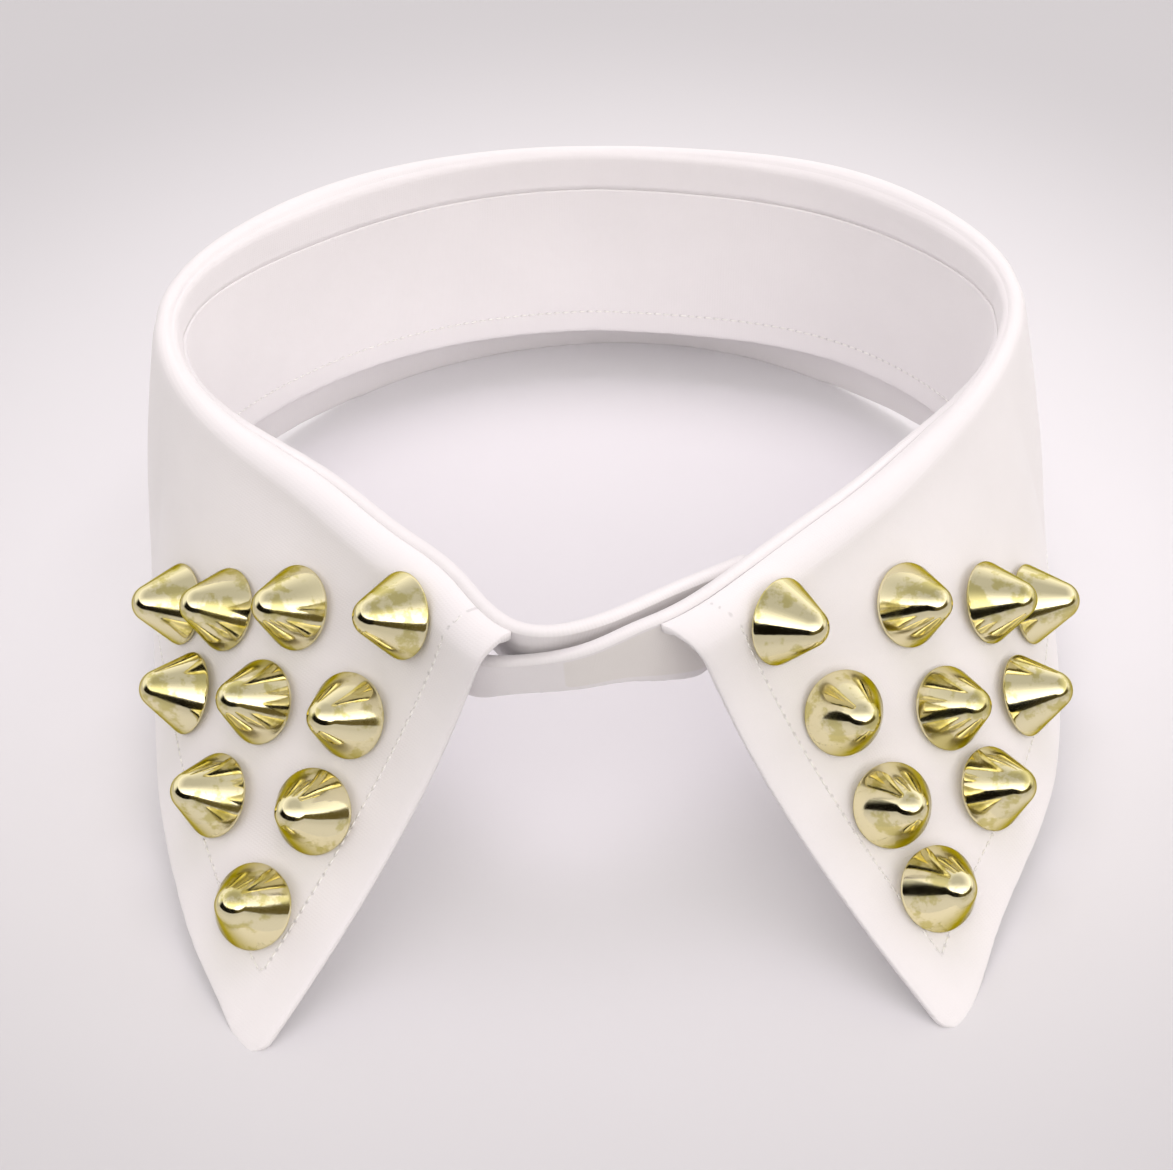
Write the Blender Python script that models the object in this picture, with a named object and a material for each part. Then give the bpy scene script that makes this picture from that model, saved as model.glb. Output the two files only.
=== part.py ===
"""A detachable shirt collar that stands by itself, buttoned, with ten cone studs on each point.

The stand is a ring of sections round the neck's axis. Its two front ends cross. The leaf starts at
the stand's top edge, rolls over and falls to the surface that the collar stands on. Lengths are in
millimetres and turned into metres where a mesh is made. A turn is an angle round the neck's axis,
0 at the centre back, positive towards the wearer's left, which is on the right in the front view.
"""

import math

import bmesh
import bpy
import numpy as np
from mathutils import Matrix, Vector
from mathutils.bvhtree import BVHTree

# Units and seams
MM = 0.001
SEAM_GAP = 0.3

# The neck's axis, from the middle of the whole collar
NECK_X = -1.3
NECK_Y = 14.24

# Cloth walls
LEAF_WALL = 1.2
STAND_WALL = 1.8

# Counts of sections and of points down a section
LEAF_SECTIONS = 76
STAND_SECTIONS = 80
STAND_STEPS = 4
ROLL_STEPS = 5
FALL_STEPS = 9

# The stand's run round the neck: its top edge's distance from the axis, and the fold's height
RING = (
    # turn, reach, crest
    (-202.0, 55.9, 48.2),
    (-188.0, 61.9, 49.6),
    (-179.0, 67.8, 50.0),
    (-171.0, 68.8, 50.0),
    (-163.0, 60.9, 49.7),
    (-152.0, 54.9, 49.5),
    (-135.0, 51.1, 49.5),
    (-115.0, 53.9, 49.5),
    (-95.0, 61.2, 49.5),
    (-80.0, 64.5, 49.4),
    (-60.0, 61.6, 49.3),
    (-40.0, 58.0, 49.2),
    (-20.0, 55.4, 49.2),
    (0.0, 54.6, 49.2),
    (20.0, 56.4, 49.2),
    (40.0, 61.4, 49.2),
    (60.0, 64.9, 49.3),
    (77.0, 65.2, 49.4),
    (95.0, 58.8, 49.5),
    (115.0, 52.6, 49.5),
    (135.0, 52.1, 49.6),
    (152.0, 55.4, 49.7),
    (163.0, 60.9, 49.9),
    (172.0, 67.0, 50.2),
    (176.0, 69.0, 49.9),
    (180.0, 70.8, 48.8),
    (187.0, 70.6, 45.8),
    (194.0, 69.2, 43.6),
    (205.0, 59.6, 40.0),
)

# How a section changes from the back to the front, the same on both sides
SECTION = (
    # turn, rise of the leaf inside the fold, roll radius, leave angle, stand lean
    (0.0, 6.0, 0.9, 90.0, -4.0),
    (25.0, 6.0, 1.3, 90.0, -3.0),
    (50.0, 5.5, 1.9, 90.0, -2.0),
    (75.0, 4.2, 1.4, 90.0, 2.0),
    (95.0, 2.6, 1.5, 78.0, 6.0),
    (115.0, 1.4, 2.2, 55.0, 12.0),
    (135.0, 0.7, 3.0, 38.0, 17.0),
    (155.0, 0.5, 3.6, 32.0, 21.0),
    (172.0, 0.5, 4.0, 30.0, 23.0),
    (188.0, 0.5, 4.0, 30.0, 24.0),
    (205.0, 0.5, 4.0, 30.0, 22.0),
)

# The stand's height along its run
HEIGHTS = (
    # turn, height
    (-202.0, 12.0),
    (-190.0, 14.8),
    (-178.0, 17.9),
    (-165.0, 17.9),
    (-150.0, 17.6),
    (-135.0, 18.3),
    (-115.0, 21.0),
    (-95.0, 25.0),
    (-75.0, 28.0),
    (-50.0, 29.0),
    (-25.0, 29.5),
    (0.0, 30.0),
    (25.0, 29.5),
    (50.0, 29.0),
    (75.0, 28.0),
    (95.0, 25.0),
    (115.0, 21.0),
    (135.0, 18.6),
    (150.0, 19.4),
    (160.0, 19.8),
    (164.0, 18.7),
    (168.0, 16.2),
    (173.0, 13.5),
    (178.0, 11.3),
    (184.0, 9.2),
    (190.0, 9.0),
    (196.0, 11.0),
    (205.0, 12.5),
)

# The outer band stands more upright where it leaves the right-hand leaf
UPRIGHT_TURN = 166.0
UPRIGHT_WIDTH = 12.0
UPRIGHT_DEGREES = 11.0

# The leaf's corners on the stand
LEAF_LEFT_CORNER = -171.3
LEAF_RIGHT_CORNER = 173.0

# The leaf's lower edge: it rests at the two points and at the centre back, and lifts between them
LOWER_EDGE = (
    # turn, reach, lift
    (-155.3, 108.4, 0.0),
    (-152.9, 106.6, 0.0),
    (-150.6, 104.0, 1.5),
    (-146.1, 99.2, 3.2),
    (-140.9, 93.4, 5.0),
    (-134.5, 87.0, 6.3),
    (-124.0, 78.4, 7.0),
    (-104.0, 70.4, 7.0),
    (-85.0, 68.6, 5.5),
    (-60.0, 66.8, 2.4),
    (-36.0, 66.9, 0.0),
    (-12.0, 67.9, 0.0),
    (12.0, 69.9, 0.0),
    (34.0, 70.4, 0.0),
    (55.0, 70.2, 2.4),
    (80.0, 71.2, 5.5),
    (100.0, 73.0, 7.0),
    (120.0, 80.6, 7.0),
    (132.0, 88.1, 6.3),
    (139.5, 92.8, 4.6),
    (145.5, 98.0, 2.4),
    (150.7, 104.1, 0.0),
    (153.0, 106.0, 0.0),
)

# How the leaf falls from the fold: a flare over 1 falls steeply first, a bow stands outward
FALL = (
    # share of the way from the centre back to a corner, flare, bow
    (0.0, 1.0, 0.0),
    (0.3, 1.0, 0.4),
    (0.55, 1.0, 1.5),
    (0.8, 1.1, 0.6),
    (1.0, 1.3, 0.0),
)

# The leaf's front edges run back from the corners over the roll, then belly out and sink back
FRONT_SHARE = 0.24
CORNER_INSET = {"left": 3.1, "right": 4.6}
CORNER_START = 0.85
FRONT_BELLY = {"left": 1.2, "right": 1.0}
FRONT_SINK = 5.0
FRONT_SINK_DIP = 40.0

# Soft vertical waves that stand out of the leaf
WAVES = (
    # turn at the fold, width in degrees, height
    (-112.0, 9.0, 0.5),
    (84.0, 8.0, 0.6),
    (103.0, 9.0, 0.5),
)

# Cone studs
STUD_RADIUS = 6.0
STUD_RIM = 0.7
STUD_HEIGHT = 7.8
STUD_TIP = 2.85
STUD_SIDES = 20
STUD_TIP_STEPS = 4
STUDS = (
    # side, number, share of the way from the centre back to a corner, share down the fall,
    # degrees the stud is turned towards the front, degrees it nods down
    ("left", 1, 0.690, 0.547, 0.0, 0.0),
    ("left", 2, 0.748, 0.404, 0.0, 0.0),
    ("left", 3, 0.818, 0.219, 0.0, 4.0),
    ("left", 4, 0.926, 0.019, 0.0, 0.0),
    ("left", 5, 0.757, 0.695, 0.0, 4.0),
    ("left", 6, 0.835, 0.490, 0.0, 4.0),
    ("left", 7, 0.919, 0.331, 2.0, 6.0),
    ("left", 8, 0.849, 0.755, 0.0, 6.0),
    ("left", 9, 0.938, 0.558, 6.0, 9.0),
    ("left", 10, 0.938, 0.813, 6.0, 9.0),
    ("right", 1, 0.932, 0.015, 0.0, 3.0),
    ("right", 2, 0.806, 0.240, 0.0, 2.0),
    ("right", 3, 0.737, 0.433, 0.0, 5.0),
    ("right", 4, 0.687, 0.613, 0.0, 3.0),
    ("right", 5, 0.918, 0.334, 14.0, 3.0),
    ("right", 6, 0.833, 0.544, 0.0, 2.0),
    ("right", 7, 0.762, 0.734, 0.0, 4.0),
    ("right", 8, 0.928, 0.591, 12.0, 6.0),
    ("right", 9, 0.848, 0.785, 0.0, 6.0),
    ("right", 10, 0.940, 0.800, 8.0, 9.0),
)

# Prongs behind the leaf: four to a stud, pressed over until they meet in the middle
CLAW_COUNT = 4
CLAW_LENGTH = 3.2
CLAW_WIDTH = 1.3
CLAW_THICK = 0.5
CLAW_TURN = 45.0
CLAW_TOP = 0.07

# Button on the crossed front ends
BUTTON_TURN = 199.4
BUTTON_DOWN = 0.56
BUTTON_RADIUS = 4.0
BUTTON_THICK = 1.5
BUTTON_SIDES = 24
SLOT_LENGTH = 8.6
SLOT_HEIGHT = 1.8
SHANK_RADIUS = 0.6

# Rounding of the leaf's two points
POINT_ROUND = 2.0


def clear_scene():
    for thing in list(bpy.data.objects):
        bpy.data.objects.remove(thing, do_unlink=True)


def plain_material(name, colour, roughness, metallic):
    material = bpy.data.materials.new(name)
    material.use_nodes = True
    shader = material.node_tree.nodes["Principled BSDF"]
    shader.inputs["Base Color"].default_value = (*colour, 1.0)
    shader.inputs["Roughness"].default_value = roughness
    shader.inputs["Metallic"].default_value = metallic
    material.diffuse_color = (*colour, 1.0)
    return material


def smooth_curve(rows, column):
    """Give a smooth function through one column of a table, over the table's first column."""
    xs = np.array([row[0] for row in rows], float)
    ys = np.array([row[column] for row in rows], float)
    count = len(xs)
    gaps = np.diff(xs)
    slopes = np.diff(ys) / gaps
    matrix = np.eye(count)
    right = np.zeros(count)
    for i in range(1, count - 1):
        matrix[i, i - 1] = gaps[i - 1]
        matrix[i, i] = 2.0 * (gaps[i - 1] + gaps[i])
        matrix[i, i + 1] = gaps[i]
        right[i] = 6.0 * (slopes[i] - slopes[i - 1])
    bends = np.linalg.solve(matrix, right)

    def value(x):
        i = int(np.clip(np.searchsorted(xs, x) - 1, 0, count - 2))
        h = gaps[i]
        a = (xs[i + 1] - x) / h
        b = (x - xs[i]) / h
        cubic = (a ** 3 - a) * bends[i] + (b ** 3 - b) * bends[i + 1]
        return a * ys[i] + b * ys[i + 1] + cubic * h * h / 6.0

    return value


REACH = smooth_curve(RING, 1)
CREST = smooth_curve(RING, 2)
RISE = smooth_curve(SECTION, 1)
ROLL = smooth_curve(SECTION, 2)
LEAVE = smooth_curve(SECTION, 3)
LEAN = smooth_curve(SECTION, 4)
HEIGHT = smooth_curve(HEIGHTS, 1)
EDGE_REACH = smooth_curve(LOWER_EDGE, 1)
EDGE_LIFT = smooth_curve(LOWER_EDGE, 2)
FLARE = smooth_curve(FALL, 1)
BOW = smooth_curve(FALL, 2)


def on_ring(turn, reach, height):
    angle = math.radians(turn)
    return np.array((NECK_X + reach * math.sin(angle), NECK_Y + reach * math.cos(angle), height))


def outward(turn):
    """Give the level direction square to the stand's top edge, away from the neck."""
    step = 0.5
    run = on_ring(turn + step, REACH(turn + step), 0.0) - on_ring(turn - step, REACH(turn - step), 0.0)
    run /= np.linalg.norm(run)
    return np.array((-run[1], run[0], 0.0))


def lean(turn):
    """Give the degrees that the stand's top leans outward."""
    upright = UPRIGHT_DEGREES * math.exp(-(((turn - UPRIGHT_TURN) / UPRIGHT_WIDTH) ** 2))
    return LEAN(abs(turn)) - upright


def leave(turn):
    """Give the degrees over the stand's outward direction at which the leaf leaves it."""
    upright = UPRIGHT_DEGREES * math.exp(-(((turn - UPRIGHT_TURN) / UPRIGHT_WIDTH) ** 2))
    return float(np.clip(LEAVE(abs(turn)), 0.0, 90.0)) - upright


def leave_angle(turn):
    """Give the angle over the level at which the leaf leaves the stand, with the stand's lean."""
    return math.radians(leave(turn) - lean(turn))


def stack_height(turn):
    """Give how far the fold's crest lies over the stand's top edge."""
    angle = leave_angle(turn)
    roll = ROLL(abs(turn))
    over = RISE(abs(turn)) * math.sin(angle) + roll * (1.0 - math.cos(angle))
    start = seam_offset(turn)
    return max(over, 0.0) + start[1] + 0.5 * LEAF_WALL * min(1.0, math.sin(max(angle, 0.0)) + 0.9)


def seam_offset(turn):
    """Give the seam's place from the stand's top edge as (outward, up), before the lean."""
    angle = math.radians(leave(turn))
    share = angle / math.radians(90.0)
    slide = share * 0.5 * STAND_WALL - (1.0 - share) * 0.5 * LEAF_WALL
    out = 0.5 * STAND_WALL + SEAM_GAP * math.cos(angle) - slide * math.sin(angle)
    up = SEAM_GAP * math.sin(angle) + slide * math.cos(angle)
    return out, up


def stand_top(turn):
    return CREST(turn) - stack_height(turn)


def stand_frame(turn):
    """Give the stand's top point, its outward direction and its upward direction, with its lean."""
    tilt = math.radians(lean(turn))
    level = outward(turn)
    upright = np.array((0.0, 0.0, 1.0))
    up = upright * math.cos(tilt) + level * math.sin(tilt)
    out = level * math.cos(tilt) - upright * math.sin(tilt)
    return on_ring(turn, REACH(turn), stand_top(turn)), out, up


def stand_points(turn):
    """Give the stand's middle line from its top edge down."""
    top, _, up = stand_frame(turn)
    return [top - up * HEIGHT(turn) * step / STAND_STEPS for step in range(STAND_STEPS + 1)]


def even_turns(first, last, count, reach_at):
    """Give turns that lie the same distance apart along a curve."""
    fine = np.linspace(first, last, 1200)
    points = np.array([on_ring(turn, reach_at(turn), 0.0) for turn in fine])
    lengths = np.concatenate(([0.0], np.cumsum(np.linalg.norm(np.diff(points, axis=0), axis=1))))
    wanted = np.linspace(0.0, lengths[-1], count + 1)
    return np.interp(wanted, lengths, fine)


def edge_lift(turn):
    """Give the lower edge's height, which is level where it rests."""
    lift = EDGE_LIFT(turn)
    return lift if lift > 0.15 else 0.0


def wave_height(turn, down):
    total = 0.0
    for middle, width, height in WAVES:
        total += height * math.exp(-(((turn - middle) / width) ** 2))
    return total * math.sin(math.pi * down) ** 1.5 if 0.0 < down < 1.0 else 0.0


def front_shift(share, over, down):
    """Give how far a point near a front edge is moved along the fold, positive towards the right.

    The point lies a share over the roll and a share down the fall.
    """
    side = "left" if share < 0.0 else "right"
    sign = -1.0 if share < 0.0 else 1.0
    near = max(0.0, 1.0 - (1.0 - abs(share)) / FRONT_SHARE) ** 1.5
    reached = CORNER_START * over + (1.0 - CORNER_START) * math.sin(math.pi * min(3.0 * down, 0.5))
    inset = CORNER_INSET[side] * reached * (1.0 - down)
    belly = FRONT_BELLY[side] * math.sin(math.pi * down) * down
    return sign * near * (belly - inset)


def front_sink(share, down):
    """Give how a point near a front edge lies further back and down, as the point's middle does."""
    near = max(0.0, 1.0 - (1.0 - abs(share)) / FRONT_SHARE) ** 1.5
    dip = math.radians(FRONT_SINK_DIP)
    sink = FRONT_SINK * near * math.sin(math.pi * down)
    return sink * np.array((0.0, math.cos(dip), -math.sin(dip)))


def leaf_points(turn, edge_turn, share):
    """Give the leaf's middle line from the seam, over the fold and down to the lower edge."""
    top, out, up = stand_frame(turn)
    level = outward(turn)
    seam_out, seam_up = seam_offset(turn)
    angle = leave_angle(turn)
    away = level * math.cos(angle) + np.array((0.0, 0.0, math.sin(angle)))
    side = level * math.sin(angle) - np.array((0.0, 0.0, math.cos(angle)))
    start = top + out * seam_out + up * seam_up
    lift = start + away * RISE(abs(turn))
    roll = ROLL(abs(turn))
    centre = lift + side * roll
    points = [start, lift]
    along = np.array((level[1], -level[0], 0.0))
    sweep = angle + math.radians(90.0)
    for step in range(1, ROLL_STEPS + 1):
        over = step / ROLL_STEPS
        point = centre - side * roll * math.cos(sweep * over) + away * roll * math.sin(sweep * over)
        points.append(point + along * front_shift(share, over, 0.0))
    shoulder = point
    foot = on_ring(edge_turn, EDGE_REACH(edge_turn), edge_lift(edge_turn))
    for step in range(1, FALL_STEPS + 1):
        down = step / FALL_STEPS
        across = down ** FLARE(abs(share))
        point = shoulder * (1.0 - across) + foot * across
        point[2] = shoulder[2] * (1.0 - down) + foot[2] * down
        bulge = BOW(abs(share)) * math.sin(math.pi * down) + wave_height(turn, down)
        moved = point + level * bulge + along * front_shift(share, 1.0, down)
        points.append(moved + front_sink(share, down))
    return points


def wall_faces(rows, columns):
    """Index the faces of a closed wall with an outer grid first and an inner grid second."""
    def outer(i, j):
        return i * columns + j

    def inner(i, j):
        return rows * columns + i * columns + j

    faces = []
    for i in range(rows - 1):
        for j in range(columns - 1):
            faces.append((outer(i, j), outer(i, j + 1), outer(i + 1, j + 1), outer(i + 1, j)))
            faces.append((inner(i, j), inner(i + 1, j), inner(i + 1, j + 1), inner(i, j + 1)))
    for i in range(rows - 1):
        faces.append((outer(i, 0), outer(i + 1, 0), inner(i + 1, 0), inner(i, 0)))
        last = columns - 1
        faces.append((outer(i, last), inner(i, last), inner(i + 1, last), outer(i + 1, last)))
    for j in range(columns - 1):
        faces.append((outer(0, j), inner(0, j), inner(0, j + 1), outer(0, j + 1)))
        last = rows - 1
        faces.append((outer(last, j), outer(last, j + 1), inner(last, j + 1), inner(last, j)))
    return faces


def wall_object(name, outer, inner, material):
    """Make a closed wall from two grids of points."""
    rows, columns, _ = outer.shape
    points = np.concatenate((outer.reshape(-1, 3), inner.reshape(-1, 3))) * MM
    mesh = bpy.data.meshes.new(name)
    mesh.from_pydata(points.tolist(), [], wall_faces(rows, columns))
    return finish_object(name, mesh, material)


def finish_object(name, mesh, material):
    work = bmesh.new()
    work.from_mesh(mesh)
    bmesh.ops.recalc_face_normals(work, faces=work.faces)
    work.to_mesh(mesh)
    work.free()
    for polygon in mesh.polygons:
        polygon.use_smooth = True
    mesh.set_sharp_from_angle(angle=math.radians(40.0))
    mesh.materials.append(material)
    thing = bpy.data.objects.new(name, mesh)
    bpy.context.scene.collection.objects.link(thing)
    return thing


def grid_normals(grid):
    """Give the outward direction at each point of a grid of sections."""
    along = np.gradient(grid, axis=0)
    down = np.gradient(grid, axis=1)
    normals = np.cross(along, down)
    return normals / np.linalg.norm(normals, axis=2, keepdims=True)


def end_level(grid, heights):
    """Carry each section's last point along its own line to the height of its lower edge."""
    last = grid[:, -1]
    run = last - grid[:, -2]
    grid[:, -1] = last + run * ((heights[:, None] - last[:, 2:]) / run[:, 2:])
    grid[:, -1, 2] = heights
    return grid


def leaf_grid():
    fold_turns = even_turns(LEAF_LEFT_CORNER, LEAF_RIGHT_CORNER, LEAF_SECTIONS, REACH)
    edge_turns = even_turns(LOWER_EDGE[0][0], LOWER_EDGE[-1][0], LEAF_SECTIONS, EDGE_REACH)
    shares = np.linspace(-1.0, 1.0, LEAF_SECTIONS + 1)
    return np.array([leaf_points(*row) for row in zip(fold_turns, edge_turns, shares)])


def leaf_faces():
    """Give the grids of the leaf's outer and inner face."""
    grid = leaf_grid()
    normals = grid_normals(grid)
    heights = grid[:, -1, 2].copy()
    outer = end_level(grid + normals * 0.5 * LEAF_WALL, heights)
    inner = end_level(grid - normals * 0.5 * LEAF_WALL, heights)
    return outer, inner


def make_leaf(outer, inner, cotton):
    leaf = wall_object("collar_leaf", outer, inner, cotton)
    work = bmesh.new()
    work.from_mesh(leaf.data)
    work.verts.ensure_lookup_table()
    rows, columns, _ = outer.shape
    corners = []
    for corner in (columns - 1, rows * columns - 1):
        pair = {work.verts[corner], work.verts[corner + rows * columns]}
        corners += [edge for edge in work.verts[corner].link_edges if set(edge.verts) == pair]
    bmesh.ops.bevel(work, geom=corners, offset=POINT_ROUND * MM, segments=3, profile=0.5,
                    affect="EDGES", material=-1)
    work.to_mesh(leaf.data)
    work.free()
    return leaf


def stand_grid():
    turns = even_turns(RING[0][0], RING[-1][0], STAND_SECTIONS, REACH)
    return np.array([stand_points(turn) for turn in turns])


def make_stand(cotton):
    grid = stand_grid()
    normals = grid_normals(grid)
    outer = grid + normals * 0.5 * STAND_WALL
    inner = grid - normals * 0.5 * STAND_WALL
    return wall_object("collar_stand", outer, inner, cotton)


def leaf_spot(share, down):
    """Give a point on the leaf's middle surface and the outward direction there."""
    fold_turns = even_turns(LEAF_LEFT_CORNER, LEAF_RIGHT_CORNER, LEAF_SECTIONS, REACH)
    edge_turns = even_turns(LOWER_EDGE[0][0], LOWER_EDGE[-1][0], LEAF_SECTIONS, EDGE_REACH)
    place = (share + 1.0) / 2.0 * LEAF_SECTIONS
    sections = np.arange(LEAF_SECTIONS + 1)

    def point(at, fall):
        fold = np.interp(at, sections, fold_turns)
        edge = np.interp(at, sections, edge_turns)
        row = np.array(leaf_points(fold, edge, 2.0 * at / LEAF_SECTIONS - 1.0))[1 + ROLL_STEPS:]
        step = fall * FALL_STEPS
        return np.array([np.interp(step, np.arange(FALL_STEPS + 1), row[:, axis]) for axis in range(3)])

    along = point(place + 0.6, down) - point(place - 0.6, down)
    fall = point(place, min(down + 0.07, 1.0)) - point(place, max(down - 0.07, 0.0))
    normal = np.cross(along, fall)
    return point(place, down), normal / np.linalg.norm(normal)


def dense(grid, parts=6):
    """Fill a grid of points with more points on the flat faces between them."""
    rows, columns, _ = grid.shape
    at = np.linspace(0.0, rows - 1.0, (rows - 1) * parts + 1)
    low = np.minimum(at.astype(int), rows - 2)
    part = (at - low)[:, None, None]
    grid = grid[low] * (1.0 - part) + grid[low + 1] * part
    at = np.linspace(0.0, columns - 1.0, (columns - 1) * parts + 1)
    low = np.minimum(at.astype(int), columns - 2)
    part = (at - low)[None, :, None]
    return grid[:, low] * (1.0 - part) + grid[:, low + 1] * part


def seat_height(points, place, axis, radius):
    """Give how far a disc must stand over a place to clear a surface's points by the seam gap."""
    away = points - place
    height = away @ axis
    beside = np.linalg.norm(away - height[..., None] * axis, axis=-1)
    near = (beside < radius) & (np.abs(height) < 4.0)
    return float(height[near].max()) + SEAM_GAP


def turned(axis, side, turn, nod):
    """Turn a stud's axis towards the front and nod it down."""
    sign = 1.0 if side == "left" else -1.0
    axis = Matrix.Rotation(math.radians(sign * turn), 3, "Z") @ Vector(axis)
    level = Vector((axis.y, -axis.x, 0.0)).normalized()
    return np.array(Matrix.Rotation(math.radians(-nod), 3, level) @ axis)


def spin_object(name, outline, sides, place, axis, material):
    """Make a solid of revolution from its outline, standing on a place along an axis."""
    work = bmesh.new()
    verts = [work.verts.new((reach * MM, 0.0, height * MM)) for reach, height in outline]
    edges = [work.edges.new(pair) for pair in zip(verts, verts[1:])]
    bmesh.ops.spin(work, geom=verts + edges, cent=(0.0, 0.0, 0.0), axis=(0.0, 0.0, 1.0),
                   dvec=(0.0, 0.0, 0.0), angle=math.radians(360.0), steps=sides, use_merge=True)
    bmesh.ops.remove_doubles(work, verts=work.verts, dist=0.00001)
    swing = Vector(axis).to_track_quat("Z", "Y").to_matrix().to_4x4()
    bmesh.ops.transform(work, matrix=Matrix.Translation(Vector(place) * MM) @ swing, verts=work.verts)
    mesh = bpy.data.meshes.new(name)
    work.to_mesh(mesh)
    work.free()
    return finish_object(name, mesh, material)


def stud_outline():
    """Give the stud's outline from the middle of its base over its rim to its rounded tip."""
    reach = STUD_RADIUS - 0.1
    middle = STUD_HEIGHT - STUD_TIP
    slope = math.atan2(middle - STUD_RIM, reach)
    slope += math.asin(STUD_TIP / math.hypot(reach, middle - STUD_RIM))
    outline = [(0.0, 0.0), (STUD_RADIUS - 0.15, 0.0), (STUD_RADIUS, 0.3), (reach, STUD_RIM)]
    for step in range(STUD_TIP_STEPS):
        bend = slope * (1.0 - step / STUD_TIP_STEPS)
        outline.append((STUD_TIP * math.sin(bend), middle + STUD_TIP * math.cos(bend)))
    return outline + [(0.0, STUD_HEIGHT)]


def make_studs(outer, gold):
    outline = stud_outline()
    points = dense(outer)
    for side, number, share, down, turn, nod in STUDS:
        sign = -1.0 if side == "left" else 1.0
        place, normal = leaf_spot(sign * share, down)
        axis = turned(normal, side, turn, nod)
        seat = seat_height(points, place, axis, STUD_RADIUS + 0.3)
        name = f"stud_{side}_{number:02d}"
        spin_object(name, outline, STUD_SIDES, place + axis * seat, axis, gold)


def add_plate(work, place, along, normal, size):
    """Add a small box to a bmesh, its length along one direction and its thickness along another."""
    length, width, thick = size
    across = np.cross(normal, along)
    frame = Matrix(np.column_stack((along * length, across * width, normal * thick)).tolist())
    move = Matrix.Translation(Vector(place)) @ frame.to_4x4()
    bmesh.ops.create_cube(work, size=1.0, matrix=Matrix.Scale(MM, 4) @ move)


def make_claws(inner, steel):
    """Make each stud's prongs, one solid where they meet, against the leaf's inner face."""
    points = dense(inner)
    half = 0.5 * CLAW_WIDTH
    for side, number, share, down, _, _ in STUDS:
        sign = -1.0 if side == "left" else 1.0
        place, normal = leaf_spot(sign * share, max(down, CLAW_TOP))
        level = np.array((normal[1], -normal[0], 0.0))
        level /= np.linalg.norm(level)
        upright = np.cross(level, normal)
        near = place - normal * seat_height(points, place, -normal, CLAW_LENGTH + 0.3)
        work = bmesh.new()
        ring = []
        for claw in range(CLAW_COUNT):
            angle = math.radians(CLAW_TURN + 360.0 * claw / CLAW_COUNT)
            along = level * math.cos(angle) + upright * math.sin(angle)
            beside = np.cross(along, normal)
            for reach, aside in ((CLAW_LENGTH, -half), (CLAW_LENGTH, half), (half, half)):
                ring.append(work.verts.new((near + along * reach + beside * aside) * MM))
        face = work.faces.new(ring)
        grown = bmesh.ops.extrude_face_region(work, geom=[face], use_keep_orig=True)
        moved = [item for item in grown["geom"] if isinstance(item, bmesh.types.BMVert)]
        bmesh.ops.translate(work, verts=moved, vec=Vector(-normal * CLAW_THICK * MM))
        name = f"claws_{side}_{number:02d}"
        mesh = bpy.data.meshes.new(name)
        work.to_mesh(mesh)
        work.free()
        finish_object(name, mesh, steel)


def button_place():
    """Give the middle of the outer band's face under the button, and its frame."""
    top, out, up = stand_frame(BUTTON_TURN)
    middle = top - up * BUTTON_DOWN * HEIGHT(BUTTON_TURN)
    along = np.cross(up, out)
    return middle, along, out, up


def cut_slot(stand):
    """Cut the buttonhole through the outer band."""
    middle, along, out, _ = button_place()
    work = bmesh.new()
    add_plate(work, middle, along, out, (SLOT_LENGTH, SLOT_HEIGHT, 3.0 * STAND_WALL))
    mesh = bpy.data.meshes.new("slot_cutter")
    work.to_mesh(mesh)
    work.free()
    cutter = bpy.data.objects.new("slot_cutter", mesh)
    bpy.context.scene.collection.objects.link(cutter)
    cutter.hide_render = True
    cutter.display_type = "WIRE"
    cut = stand.modifiers.new("buttonhole", "BOOLEAN")
    cut.operation = "DIFFERENCE"
    cut.solver = "EXACT"
    cut.object = cutter


def make_button(stand, shell):
    """Make the button with its thread shank, which stops just short of the inner band."""
    middle, _, out, _ = button_place()
    points = [vertex.co for vertex in stand.data.vertices]
    tree = BVHTree.FromPolygons(points, [list(face.vertices) for face in stand.data.polygons])
    start = Vector(middle - out * STAND_WALL) * MM
    _, _, _, reach = tree.ray_cast(start, -Vector(out), 0.05)
    back = 0.5 * STAND_WALL + SEAM_GAP
    foot = -STAND_WALL - reach / MM + SEAM_GAP
    outline = [(0.0, foot), (SHANK_RADIUS, foot), (SHANK_RADIUS, back), (BUTTON_RADIUS - 0.3, back),
               (BUTTON_RADIUS, back + 0.4), (BUTTON_RADIUS, back + BUTTON_THICK - 0.4),
               (BUTTON_RADIUS - 0.4, back + BUTTON_THICK), (BUTTON_RADIUS - 1.2, back + BUTTON_THICK),
               (BUTTON_RADIUS - 1.5, back + BUTTON_THICK - 0.3), (0.0, back + BUTTON_THICK - 0.3)]
    return spin_object("front_button", outline, BUTTON_SIDES, middle, out, shell)


def build():
    clear_scene()
    leaf_cotton = plain_material("white_cotton_leaf", (0.86, 0.85, 0.88), 0.85, 0.0)
    stand_cotton = plain_material("white_cotton_stand", (0.84, 0.83, 0.86), 0.85, 0.0)
    gold = plain_material("champagne_gold_plate", (0.78, 0.66, 0.45), 0.2, 1.0)
    steel = plain_material("bent_steel_prong", (0.62, 0.6, 0.56), 0.35, 1.0)
    shell = plain_material("white_button_resin", (0.85, 0.85, 0.84), 0.35, 0.0)
    outer, inner = leaf_faces()
    make_leaf(outer, inner, leaf_cotton)
    stand = make_stand(stand_cotton)
    make_button(stand, shell)
    cut_slot(stand)
    make_studs(outer, gold)
    make_claws(inner, steel)


build()
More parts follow.
